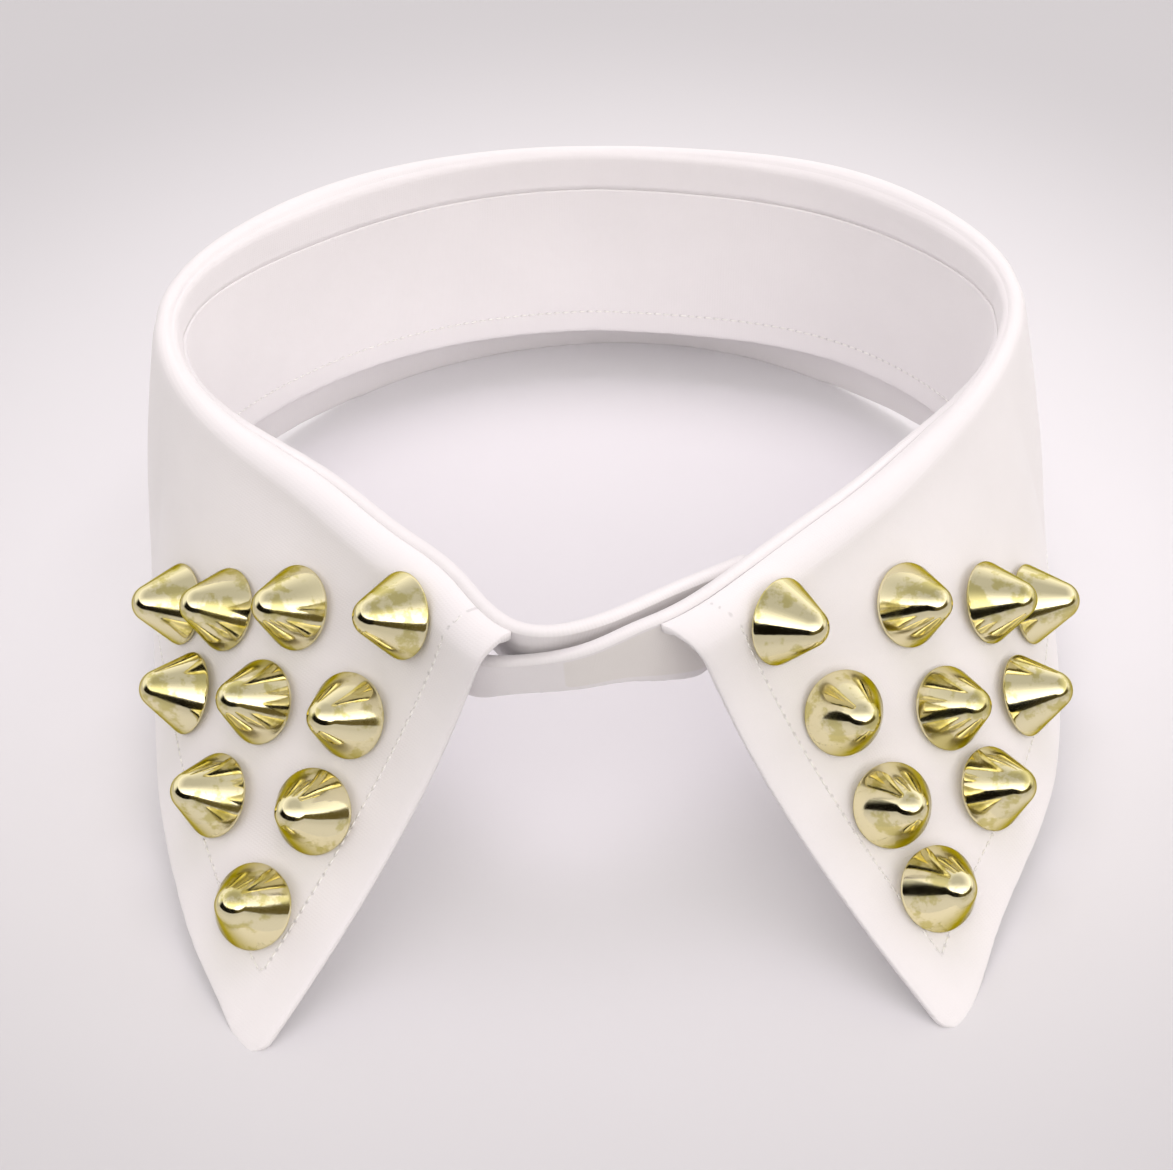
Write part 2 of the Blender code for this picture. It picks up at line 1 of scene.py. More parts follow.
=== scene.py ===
"""Dressed model of a detachable shirt collar: cotton leaf and stand, stitches, cone studs, button.

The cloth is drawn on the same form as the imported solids, much finer, from the same named sizes.
Lengths in the tables are in millimetres and turned into metres where a mesh is made. A turn is an
angle round the neck's axis, 0 at the centre back, positive towards +X. A share runs along the leaf
from -1 at its left point to 1 at its right point.
"""

import math

import bmesh
import bpy
import numpy as np
from bpy.props import FloatProperty, FloatVectorProperty, IntProperty, PointerProperty
from mathutils import Matrix, Vector


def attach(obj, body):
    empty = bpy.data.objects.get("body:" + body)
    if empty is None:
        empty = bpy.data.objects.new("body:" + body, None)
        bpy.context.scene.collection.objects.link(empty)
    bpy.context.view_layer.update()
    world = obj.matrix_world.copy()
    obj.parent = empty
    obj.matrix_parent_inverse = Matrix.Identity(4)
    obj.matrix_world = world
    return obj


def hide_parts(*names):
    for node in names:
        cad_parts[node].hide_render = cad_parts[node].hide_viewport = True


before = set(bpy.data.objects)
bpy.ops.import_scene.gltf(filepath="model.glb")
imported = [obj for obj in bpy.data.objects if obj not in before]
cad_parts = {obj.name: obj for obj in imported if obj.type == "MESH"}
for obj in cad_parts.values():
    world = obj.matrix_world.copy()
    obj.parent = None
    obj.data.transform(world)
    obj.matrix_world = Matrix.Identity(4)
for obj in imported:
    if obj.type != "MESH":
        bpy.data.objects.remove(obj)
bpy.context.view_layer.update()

bl_info = {
    "name": "Detachable shirt collar",
    "version": (1, 0, 0),
    "blender": (4, 5, 0),
    "location": "3D View > Sidebar > Collar",
    "description": "Builds a studded cotton shirt collar on its packed frame",
    "category": "Mesh",
}

MM = 0.001

# The neck's axis
NECK = np.array((-1.3, 14.24))

# Cloth walls
LEAF_WALL = 1.2
STAND_WALL = 1.8
SEAM_GAP = 0.3
SEAM_CLOSE = 0.36

# The stand's run round the neck
RING = (
    # turn, reach, crest
    (-202.0, 55.9, 48.2),
    (-188.0, 61.9, 49.6),
    (-179.0, 67.8, 50.0),
    (-171.0, 68.8, 50.0),
    (-163.0, 60.9, 49.7),
    (-152.0, 54.9, 49.5),
    (-135.0, 51.1, 49.5),
    (-115.0, 53.9, 49.5),
    (-95.0, 61.2, 49.5),
    (-80.0, 64.5, 49.4),
    (-60.0, 61.6, 49.3),
    (-40.0, 58.0, 49.2),
    (-20.0, 55.4, 49.2),
    (0.0, 54.6, 49.2),
    (20.0, 56.4, 49.2),
    (40.0, 61.4, 49.2),
    (60.0, 64.9, 49.3),
    (77.0, 65.2, 49.4),
    (95.0, 58.8, 49.5),
    (115.0, 52.6, 49.5),
    (135.0, 52.1, 49.6),
    (152.0, 55.4, 49.7),
    (163.0, 60.9, 49.9),
    (172.0, 67.0, 50.2),
    (176.0, 69.0, 49.9),
    (180.0, 70.8, 48.8),
    (187.0, 70.6, 45.8),
    (194.0, 69.2, 43.6),
    (205.0, 59.6, 40.0),
)

# Where the stiffening shows faintly through the outer band, in turns and in mm over its lower edge
PATCH_TURNS = (158.0, 183.4)
PATCH_EDGE = 1.5

# How a section changes from the back to the front
SECTION = (
    # turn, rise of the leaf inside the fold, roll radius, leave angle, stand lean
    (0.0, 6.0, 0.9, 90.0, -4.0),
    (25.0, 6.0, 1.3, 90.0, -3.0),
    (50.0, 5.5, 1.9, 90.0, -2.0),
    (75.0, 4.2, 1.4, 90.0, 2.0),
    (95.0, 2.6, 1.5, 78.0, 6.0),
    (115.0, 1.4, 2.2, 55.0, 12.0),
    (135.0, 0.7, 3.0, 38.0, 17.0),
    (155.0, 0.5, 3.6, 32.0, 21.0),
    (172.0, 0.5, 4.0, 30.0, 23.0),
    (188.0, 0.5, 4.0, 30.0, 24.0),
    (205.0, 0.5, 4.0, 30.0, 22.0),
)

# The stand's height along its run
HEIGHTS = (
    # turn, height
    (-202.0, 12.0),
    (-190.0, 14.0),
    (-178.0, 16.6),
    (-165.0, 18.3),
    (-150.0, 17.6),
    (-135.0, 18.3),
    (-115.0, 21.0),
    (-95.0, 25.0),
    (-75.0, 28.0),
    (-50.0, 29.0),
    (-25.0, 29.5),
    (0.0, 30.0),
    (25.0, 29.5),
    (50.0, 29.0),
    (75.0, 28.0),
    (95.0, 25.0),
    (115.0, 21.0),
    (135.0, 18.6),
    (150.0, 19.4),
    (160.0, 19.8),
    (164.0, 18.7),
    (168.0, 16.2),
    (173.0, 13.5),
    (178.0, 11.3),
    (184.0, 9.2),
    (190.0, 9.0),
    (196.0, 11.0),
    (205.0, 12.5),
)

# The outer band stands more upright where it leaves the right-hand leaf
UPRIGHT_TURN = 166.0
UPRIGHT_WIDTH = 12.0
UPRIGHT_DEGREES = 11.0

LEAF_CORNERS = (-171.3, 173.0)

# The leaf's lower edge
LOWER_EDGE = (
    # turn, reach, lift
    (-155.3, 108.4, 0.0),
    (-152.9, 106.6, 0.0),
    (-150.6, 104.0, 1.5),
    (-146.1, 99.2, 3.2),
    (-140.9, 93.4, 5.0),
    (-134.5, 87.0, 6.3),
    (-124.0, 78.4, 7.0),
    (-104.0, 70.4, 7.0),
    (-85.0, 68.6, 5.5),
    (-60.0, 66.8, 2.4),
    (-36.0, 66.9, 0.0),
    (-12.0, 67.9, 0.0),
    (12.0, 69.9, 0.0),
    (34.0, 70.4, 0.0),
    (55.0, 70.2, 2.4),
    (80.0, 71.2, 5.5),
    (100.0, 73.0, 7.0),
    (120.0, 80.6, 7.0),
    (132.0, 88.1, 6.3),
    (139.5, 92.8, 4.6),
    (145.5, 98.0, 2.4),
    (150.7, 104.1, 0.0),
    (153.0, 106.0, 0.0),
)

# How the leaf falls from the fold
FALL = (
    # share of the way from the centre back to a corner, flare, bow
    (0.0, 1.0, 0.0),
    (0.3, 1.0, 0.4),
    (0.55, 1.0, 1.5),
    (0.8, 1.1, 0.6),
    (1.0, 1.3, 0.0),
)

# The leaf's front edges
FRONT_SHARE = 0.24
CORNER_INSET = {"left": 3.1, "right": 4.6}
CORNER_START = 0.85
FRONT_BELLY = {"left": 1.2, "right": 1.0}
FRONT_SINK = 5.0
FRONT_SINK_DIP = 40.0

# The rounding of the leaf's two tips
TIP_RADIUS = 2.3
TIP_BLEND = 30.0

# Soft vertical waves that stand out of the leaf
WAVES = (
    # turn at the fold, width in degrees, height
    (-112.0, 9.0, 0.5),
    (84.0, 8.0, 0.6),
    (103.0, 9.0, 0.5),
)

# Small creases and dents, as a place on the leaf, their half sizes in mm, a slant and a depth
CREASES = (
    # share, down, half length, half width, slant in degrees, depth
    (-0.60, 0.40, 9.0, 2.2, 12.0, 0.42),
    (-0.655, 0.23, 4.0, 0.8, 20.0, 0.24),
    (0.50, 0.42, 14.0, 2.6, -8.0, 0.45),
    (0.575, 0.45, 13.0, 2.4, -4.0, 0.45),
    (0.44, 0.60, 11.0, 2.8, 6.0, 0.35),
    (-0.50, 0.62, 12.0, 3.0, 4.0, 0.35),
    (0.20, 0.55, 10.0, 4.0, 3.0, 0.35),
    (-0.16, 0.50, 9.0, 4.0, -5.0, 0.30),
    (0.44, 0.02, 3.5, 1.8, 10.0, 0.2),
    (-0.49, 0.02, 3.5, 1.8, -12.0, 0.2),
)

# The groove that parts the fold's outer roll from the thin ridge inside it
GROOVE_DEPTH = 0.3
GROOVE_PLACE = 0.26
GROOVE_WIDTH = 0.085
GROOVE_TURNS = (
    # turn, strength
    (-172.0, 0.0),
    (-125.0, 0.0),
    (-105.0, 0.5),
    (-80.0, 1.0),
    (-30.0, 1.0),
    (-12.0, 0.3),
    (0.0, 0.0),
    (12.0, 0.5),
    (30.0, 1.0),
    (75.0, 1.0),
    (95.0, 0.6),
    (115.0, 0.0),
    (172.0, 0.0),
)

# Fineness of the cloth
LEAF_STEP = 0.95
STAND_STEP = 1.1
RISE_MARKS = 6
ROLL_MARKS = 14
FALL_STEP = 0.95
EDGE_MARKS = (0.0, 0.12, 0.35, 0.7, 1.15)
EDGE_ROUND = 1.15
EDGE_THIN = 0.42

# The band's stitching isn't seen on the crossed ends, past this turn
STITCH_TURN = 148.0
CROSSED_MARK = 25.0

# Studs
STUD_RADIUS = 6.0
STUD_RIM = 0.7
STUD_HEIGHT = 7.8
STUD_TIP = 2.85
STUD_SIDES = 72

# Button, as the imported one
BUTTON_TURN = 199.4
BUTTON_DOWN = 0.56
BUTTON_RADIUS = 4.0
BUTTON_THICK = 1.5
SLOT_LENGTH = 8.6
SLOT_HEIGHT = 1.8

# The camera, at the photograph's viewing angle
CAMERA_AIM = (-2.35, -15.4, 24.25)
CAMERA_FAR = 388.0
CAMERA_PITCH = 40.0
CAMERA_LENS = 79.8


# Light: a pale room over a dark low strip, and one soft lamp over the collar
DARK_TOP = (0.41, 0.25)
ROOM_LIGHT = 1.09
FRONT_LIGHT = 2.1
KEY_LIGHT = 0.45
# Painted light on the floor: its colour dims from a middle point out to a share of itself, a painted pool
# of light
PAINTED_POOL_FADE = (0.04, 0.19)
PAINTED_POOL_DIM = 0.64
PAINTED_POOL_MIDDLE = (0.0, 0.03, 0.0)
KEY_COLOUR = (0.97, 0.86, 1.0)


def linear(code):
    """Turn an sRGB hex colour into linear red, green, blue."""
    parts = [int(code[i:i + 2], 16) / 255.0 for i in (1, 3, 5)]
    return tuple(p / 12.92 if p <= 0.04045 else ((p + 0.055) / 1.055) ** 2.4 for p in parts)


def smooth_curve(rows, column):
    """Give a smooth function through one column of a table, over the table's first column."""
    xs = np.array([row[0] for row in rows], float)
    ys = np.array([row[column] for row in rows], float)
    count = len(xs)
    gaps = np.diff(xs)
    slopes = np.diff(ys) / gaps
    matrix = np.eye(count)
    right = np.zeros(count)
    for i in range(1, count - 1):
        matrix[i, i - 1] = gaps[i - 1]
        matrix[i, i] = 2.0 * (gaps[i - 1] + gaps[i])
        matrix[i, i + 1] = gaps[i]
        right[i] = 6.0 * (slopes[i] - slopes[i - 1])
    bends = np.linalg.solve(matrix, right)

    def value(x):
        i = int(np.clip(np.searchsorted(xs, x) - 1, 0, count - 2))
        h = gaps[i]
        a = (xs[i + 1] - x) / h
        b = (x - xs[i]) / h
        cubic = (a ** 3 - a) * bends[i] + (b ** 3 - b) * bends[i + 1]
        return a * ys[i] + b * ys[i + 1] + cubic * h * h / 6.0

    return value


REACH = smooth_curve(RING, 1)
CREST = smooth_curve(RING, 2)
RISE = smooth_curve(SECTION, 1)
ROLL = smooth_curve(SECTION, 2)
LEAVE = smooth_curve(SECTION, 3)
LEAN = smooth_curve(SECTION, 4)
HEIGHT = smooth_curve(HEIGHTS, 1)
EDGE_REACH = smooth_curve(LOWER_EDGE, 1)
EDGE_LIFT = smooth_curve(LOWER_EDGE, 2)
FLARE = smooth_curve(FALL, 1)
BOW = smooth_curve(FALL, 2)


def on_ring(turn, reach, height):
    angle = math.radians(turn)
    return np.array((NECK[0] + reach * math.sin(angle), NECK[1] + reach * math.cos(angle), height))


def outward(turn):
    """Give the level direction square to the stand's top edge, away from the neck."""
    step = 0.5
    run = on_ring(turn + step, REACH(turn + step), 0.0) - on_ring(turn - step, REACH(turn - step), 0.0)
    run /= np.linalg.norm(run)
    return np.array((-run[1], run[0], 0.0))


def lean(turn):
    """Give the degrees that the stand's top leans outward."""
    upright = UPRIGHT_DEGREES * math.exp(-(((turn - UPRIGHT_TURN) / UPRIGHT_WIDTH) ** 2))
    return LEAN(abs(turn)) - upright


def leave(turn):
    """Give the degrees over the stand's outward direction at which the leaf leaves it."""
    upright = UPRIGHT_DEGREES * math.exp(-(((turn - UPRIGHT_TURN) / UPRIGHT_WIDTH) ** 2))
    return float(np.clip(LEAVE(abs(turn)), 0.0, 90.0)) - upright


def leave_angle(turn):
    return math.radians(leave(turn) - lean(turn))


def seam_offset(turn):
    """Give the seam's place from the stand's top edge as (outward, up), before the lean."""
    angle = math.radians(leave(turn))
    share = angle / math.radians(90.0)
    slide = share * 0.5 * STAND_WALL - (1.0 - share) * 0.5 * LEAF_WALL
    out = 0.5 * STAND_WALL + SEAM_GAP * math.cos(angle) - slide * math.sin(angle)
    up = SEAM_GAP * math.sin(angle) + slide * math.cos(angle)
    return out, up


def stack_height(turn):
    """Give how far the fold's crest lies over the stand's top edge."""
    angle = leave_angle(turn)
    over = RISE(abs(turn)) * math.sin(angle) + ROLL(abs(turn)) * (1.0 - math.cos(angle))
    thick = 0.5 * LEAF_WALL * min(1.0, math.sin(max(angle, 0.0)) + 0.9)
    return max(over, 0.0) + seam_offset(turn)[1] + thick


def stand_frame(turn):
    """Give the stand's top point, its outward direction and its upward direction, with its lean."""
    tilt = math.radians(lean(turn))
    level = outward(turn)
    upright = np.array((0.0, 0.0, 1.0))
    up = upright * math.cos(tilt) + level * math.sin(tilt)
    out = level * math.cos(tilt) - upright * math.sin(tilt)
    return on_ring(turn, REACH(turn), CREST(turn) - stack_height(turn)), out, up


def run_table(first, last, reach_at):
    """Give turns and the share of the way along a curve that each lies at."""
    turns = np.linspace(first, last, 1200)
    points = np.array([on_ring(turn, reach_at(turn), 0.0) for turn in turns])
    lengths = np.concatenate(([0.0], np.cumsum(np.linalg.norm(np.diff(points, axis=0), axis=1))))
    return turns, lengths / lengths[-1], lengths[-1]


FOLD_RUN = run_table(*LEAF_CORNERS, REACH)
EDGE_RUN = run_table(LOWER_EDGE[0][0], LOWER_EDGE[-1][0], EDGE_REACH)
STAND_RUN = run_table(RING[0][0], RING[-1][0], REACH)


def near_front(share):
    return max(0.0, 1.0 - (1.0 - abs(share)) / FRONT_SHARE) ** 1.5


def front_shift(share, over, down):
    """Give how far points near a front edge move along the fold, positive towards the right."""
    side = "left" if share < 0.0 else "right"
    sign = -1.0 if share < 0.0 else 1.0
    first = CORNER_START * over
    reached = first + (1.0 - CORNER_START) * np.sin(np.pi * np.minimum(3.0 * down, 0.5))
    inset = CORNER_INSET[side] * reached * (1.0 - down)
    belly = FRONT_BELLY[side] * np.sin(np.pi * down) * down
    return sign * near_front(share) * (belly - inset)


def wave_height(turn, down):
    total = sum(height * math.exp(-(((turn - middle) / width) ** 2)) for middle, width, height in WAVES)
    return total * np.sin(np.pi * np.clip(down, 0.0, 1.0)) ** 1.5


def leaf_section(share, falls):
    """Give one section of the leaf's middle surface: up the rise, over the roll, down the fall."""
    place = (share + 1.0) / 2.0
    turn = float(np.interp(place, FOLD_RUN[1], FOLD_RUN[0]))
    edge_turn = float(np.interp(place, EDGE_RUN[1], EDGE_RUN[0]))
    top, out, up = stand_frame(turn)
    level = outward(turn)
    seam_out, seam_up = seam_offset(turn)
    angle = leave_angle(turn)
    upright = np.array((0.0, 0.0, 1.0))
    away = level * math.cos(angle) + upright * math.sin(angle)
    side = level * math.sin(angle) - upright * math.cos(angle)
    along = np.array((level[1], -level[0], 0.0))
    start = top + out * seam_out + up * seam_up
    lift = start + away * RISE(abs(turn))
    roll = ROLL(abs(turn))
    centre = lift + side * roll
    sweep = angle + math.radians(90.0)
    rises = np.linspace(0.0, 1.0, RISE_MARKS)[:, None]
    overs = np.linspace(0.0, 1.0, ROLL_MARKS + 1)[1:, None]
    groove = np.interp(turn, [row[0] for row in GROOVE_TURNS], [row[1] for row in GROOVE_TURNS])
    sunk = roll - GROOVE_DEPTH * groove * np.exp(-(((overs - GROOVE_PLACE) / GROOVE_WIDTH) ** 2))
    rolled = centre - side * sunk * np.cos(sweep * overs) + away * sunk * np.sin(sweep * overs)
    rolled = rolled + along * front_shift(share, overs, 0.0)
    shoulder = centre - side * roll * math.cos(sweep) + away * roll * math.sin(sweep)
    lift_at_edge = EDGE_LIFT(edge_turn)
    foot = on_ring(edge_turn, EDGE_REACH(edge_turn), lift_at_edge if lift_at_edge > 0.15 else 0.0)
    down = falls[:, None]
    across = down ** FLARE(abs(share))
    fall = shoulder * (1.0 - across) + foot * across
    fall[:, 2:] = shoulder[2] * (1.0 - down) + foot[2] * down
    bulge = BOW(abs(share)) * np.sin(np.pi * down) + wave_height(turn, down)
    dip = math.radians(FRONT_SINK_DIP)
    sink = FRONT_SINK * near_front(share) * np.sin(np.pi * down)
    fall = fall + level * bulge + along * front_shift(share, 1.0, down)
    fall = fall + sink * np.array((0.0, math.cos(dip), -math.sin(dip)))
    return np.concatenate((start + away * RISE(abs(turn)) * rises, rolled, fall))


def eased(section, first, last, passes=10):
    """Smooth a section's points between two of them, so that one curve flows into the next."""
    section = section.copy()
    for _ in range(passes):
        section[first:last] += 0.5 * (0.5 * (section[first - 1:last - 1] + section[first + 1:last + 1])
                                      - section[first:last])
    return section


def edge_marks(length, step, both):
    """Give marks from 0 to 1 along a length, a step apart, and closer near the cloth's edges."""
    count = max(4, round((length - 2.0 * EDGE_ROUND) / step))
    inner = np.linspace(EDGE_ROUND, length - EDGE_ROUND, count + 1)[1:-1]
    near = np.array(EDGE_MARKS)
    start = near if both else np.linspace(0.0, EDGE_ROUND, 2)
    return np.concatenate((start, inner, (length - near)[::-1])) / length


def grid_normals(grid):
    """Give the outward direction at each point of a grid of sections."""
    normals = np.cross(np.gradient(grid, axis=0), np.gradient(grid, axis=1))
    return normals / np.linalg.norm(normals, axis=2, keepdims=True)


def leaf_grid():
    """Give the leaf's middle surface as sections of points, with each one's share and fall."""
    shares = edge_marks(0.5 * (FOLD_RUN[2] + EDGE_RUN[2]), LEAF_STEP, True) * 2.0 - 1.0
    falls = edge_marks(60.0, FALL_STEP, False)[1:]
    first = RISE_MARKS + ROLL_MARKS - 4
    grid = np.array([eased(leaf_section(share, falls), first, first + 10) for share in shares])
    downs = np.concatenate((np.zeros(RISE_MARKS + ROLL_MARKS), falls))
    return add_creases(round_tips(grid), shares, downs), shares, downs


def round_tips(grid):
    """Round the leaf's two tips off in the plane of the cloth, with their ends left in place."""
    grid = grid.copy()
    for i, sign in ((0, 1), (-1, -1)):
        tip = grid[i, -1].copy()
        front = grid[i, -14] - tip
        lower = grid[i + 14 * sign, -1] - tip
        front /= np.linalg.norm(front)
        lower /= np.linalg.norm(lower)
        middle = (front + lower) / np.linalg.norm(front + lower)
        half = 0.5 * math.acos(float(front @ lower))
        beside = lower - middle * float(lower @ middle)
        beside /= np.linalg.norm(beside)
        cut = TIP_RADIUS / math.sin(half) - TIP_RADIUS
        ahead = np.clip((grid - tip) @ middle / TIP_BLEND, 0.0, 1.0)
        near = np.linalg.norm(grid - tip, axis=2) < 2.0 * TIP_BLEND
        stretch = cut * np.where(near, (1.0 - ahead) ** 2, 0.0)
        grid = grid - middle * stretch[..., None]
        centre = tip + middle * TIP_RADIUS
        away = grid - centre
        bend = np.arctan2(np.abs(away @ beside), -(away @ middle))
        limit = 0.5 * math.pi - half
        within = near & (bend < limit)
        scale = np.where(within, np.cos(limit - np.minimum(bend, limit)), 1.0)
        grid = centre + away * scale[..., None]
    return grid


def add_creases(grid, shares, downs):
    """Press the small creases and dents into the leaf."""
    normals = grid_normals(grid)
    for share, down, length, width, slant, depth in CREASES:
        i = int(np.argmin(np.abs(shares - share)))
        j = int(np.argmin(np.abs(downs - down)))
        away = grid - grid[i, j]
        fall = grid[i, min(j + 4, grid.shape[1] - 1)] - grid[i, j - 4]
        fall /= np.linalg.norm(fall)
        beside = np.cross(normals[i, j], fall)
        angle = math.radians(slant)
        run = fall * math.cos(angle) + beside * math.sin(angle)
        cross = np.cross(normals[i, j], run)
        near = np.exp(-((away @ run) / length) ** 2 - ((away @ cross) / width) ** 2)
        near *= (np.linalg.norm(away, axis=2) < 3.0 * length)
        grid = grid - normals * (depth * near)[..., None]
    return grid


def edge_distance(grid, border):
    """Give how far each grid point lies from a border, and how far along it the nearest point is."""
    lengths = np.concatenate(([0.0], np.cumsum(np.linalg.norm(np.diff(border, axis=0), axis=1))))
    near = np.empty(grid.shape[:2])
    along = np.empty(grid.shape[:2])
    square = (border ** 2).sum(axis=1)
    for i, row in enumerate(grid):
        gaps = (row ** 2).sum(axis=1)[:, None] + square - 2.0 * row @ border.T
        best = gaps.argmin(axis=1)
        near[i] = np.sqrt(np.maximum(gaps[np.arange(len(row)), best], 0.0))
        along[i] = lengths[best]
    return near, along


def border_of(grid, sides):
    """Give a grid's border along its first section, its last points and its last section."""
    first = grid[0] if "first" in sides else grid[:1, -1]
    last = grid[-1][::-1] if "last" in sides else grid[-1:, -1]
    return np.concatenate((first, grid[1:-1, -1], last))


def refined(border, step):
    """Give points a step apart along a border."""
    lengths = np.concatenate(([0.0], np.cumsum(np.linalg.norm(np.diff(border, axis=0), axis=1))))
    wanted = np.linspace(0.0, lengths[-1], max(2, round(lengths[-1] / step)) + 1)
    return np.column_stack([np.interp(wanted, lengths, border[:, axis]) for axis in range(3)])


def wall_weights(distance):
    """Give the wall's share of its full thickness, rounded off at the cloth's edges."""
    depth = np.clip(distance / EDGE_ROUND, 0.0, 1.0)
    return EDGE_THIN + (1.0 - EDGE_THIN) * np.sqrt(1.0 - (1.0 - depth) ** 2)


def finish(name, work, material, smooth=True, angle=None):
    """Turn a bmesh into an object that rides on the collar."""
    mesh = bpy.data.meshes.new(name)
    work.to_mesh(mesh)
    work.free()
    for polygon in mesh.polygons:
        polygon.use_smooth = smooth
    if angle:
        mesh.set_sharp_from_angle(angle=math.radians(angle))
    mesh.materials.append(material)
    thing = bpy.data.objects.new(name, mesh)
    bpy.context.scene.collection.objects.link(thing)
    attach(thing, "root")
    return thing


def cloth(name, grid, weave, edge, weights, wall, material, gap=None):
    """Make a cloth shell: a flat grid whose points are moved to their places, then given its wall."""
    rows, columns = grid.shape[:2]
    work = bmesh.new()
    bmesh.ops.create_grid(work, x_segments=rows - 1, y_segments=columns - 1, size=1.0)
    weave_layer = work.loops.layers.uv.new("Weave")
    edge_layer = work.loops.layers.uv.new("Edge")
    places = {}
    for vertex in work.verts:
        i = round((vertex.co.x + 1.0) / 2.0 * (rows - 1))
        j = round((vertex.co.y + 1.0) / 2.0 * (columns - 1))
        places[vertex] = (i, j)
        vertex.co = grid[i, j] * MM
    for face in work.faces:
        for loop in face.loops:
            i, j = places[loop.vert]
            loop[weave_layer].uv = weave[i, j]
            loop[edge_layer].uv = edge[i, j]
    if gap is not None:
        holes = [face for face in work.faces if gap(np.array(face.calc_center_median()) / MM)]
        bmesh.ops.delete(work, geom=holes, context="FACES")
    work.verts.index_update()
    order = [places[vertex] for vertex in work.verts]
    flip = work.faces[:]
    normals = grid_normals(grid)
    middle = places[flip[len(flip) // 2].verts[0]]
    flip[len(flip) // 2].normal_update()
    if flip[len(flip) // 2].normal.dot(Vector(normals[middle])) < 0.0:
        bmesh.ops.reverse_faces(work, faces=work.faces)
    thing = finish(name, work, material)
    group = thing.vertex_groups.new(name="wall")
    for index, (i, j) in enumerate(order):
        group.add([index], float(weights[i, j]), "REPLACE")
    shell = thing.modifiers.new("wall", "SOLIDIFY")
    shell.thickness = wall * MM
    shell.offset = 0.0
    shell.use_even_offset = False
    shell.vertex_group = "wall"
    return thing


def node(tree, kind, settings=None, values=None, links=None):
    """Add a node with its settings, its sockets' values and its links."""
    made = tree.nodes.new(kind)
    for key, value in (settings or {}).items():
        setattr(made, key, value)
    for key, value in (values or {}).items():
        made.inputs[key].default_value = value
    for key, source in (links or {}).items():
        tree.links.new(source, made.inputs[key])
    return made


def new_material(name, colour):
    material = bpy.data.materials.new(name)
    material.use_nodes = True
    material.diffuse_color = (*colour, 1.0)
    return material, material.node_tree, material.node_tree.nodes["Principled BSDF"]


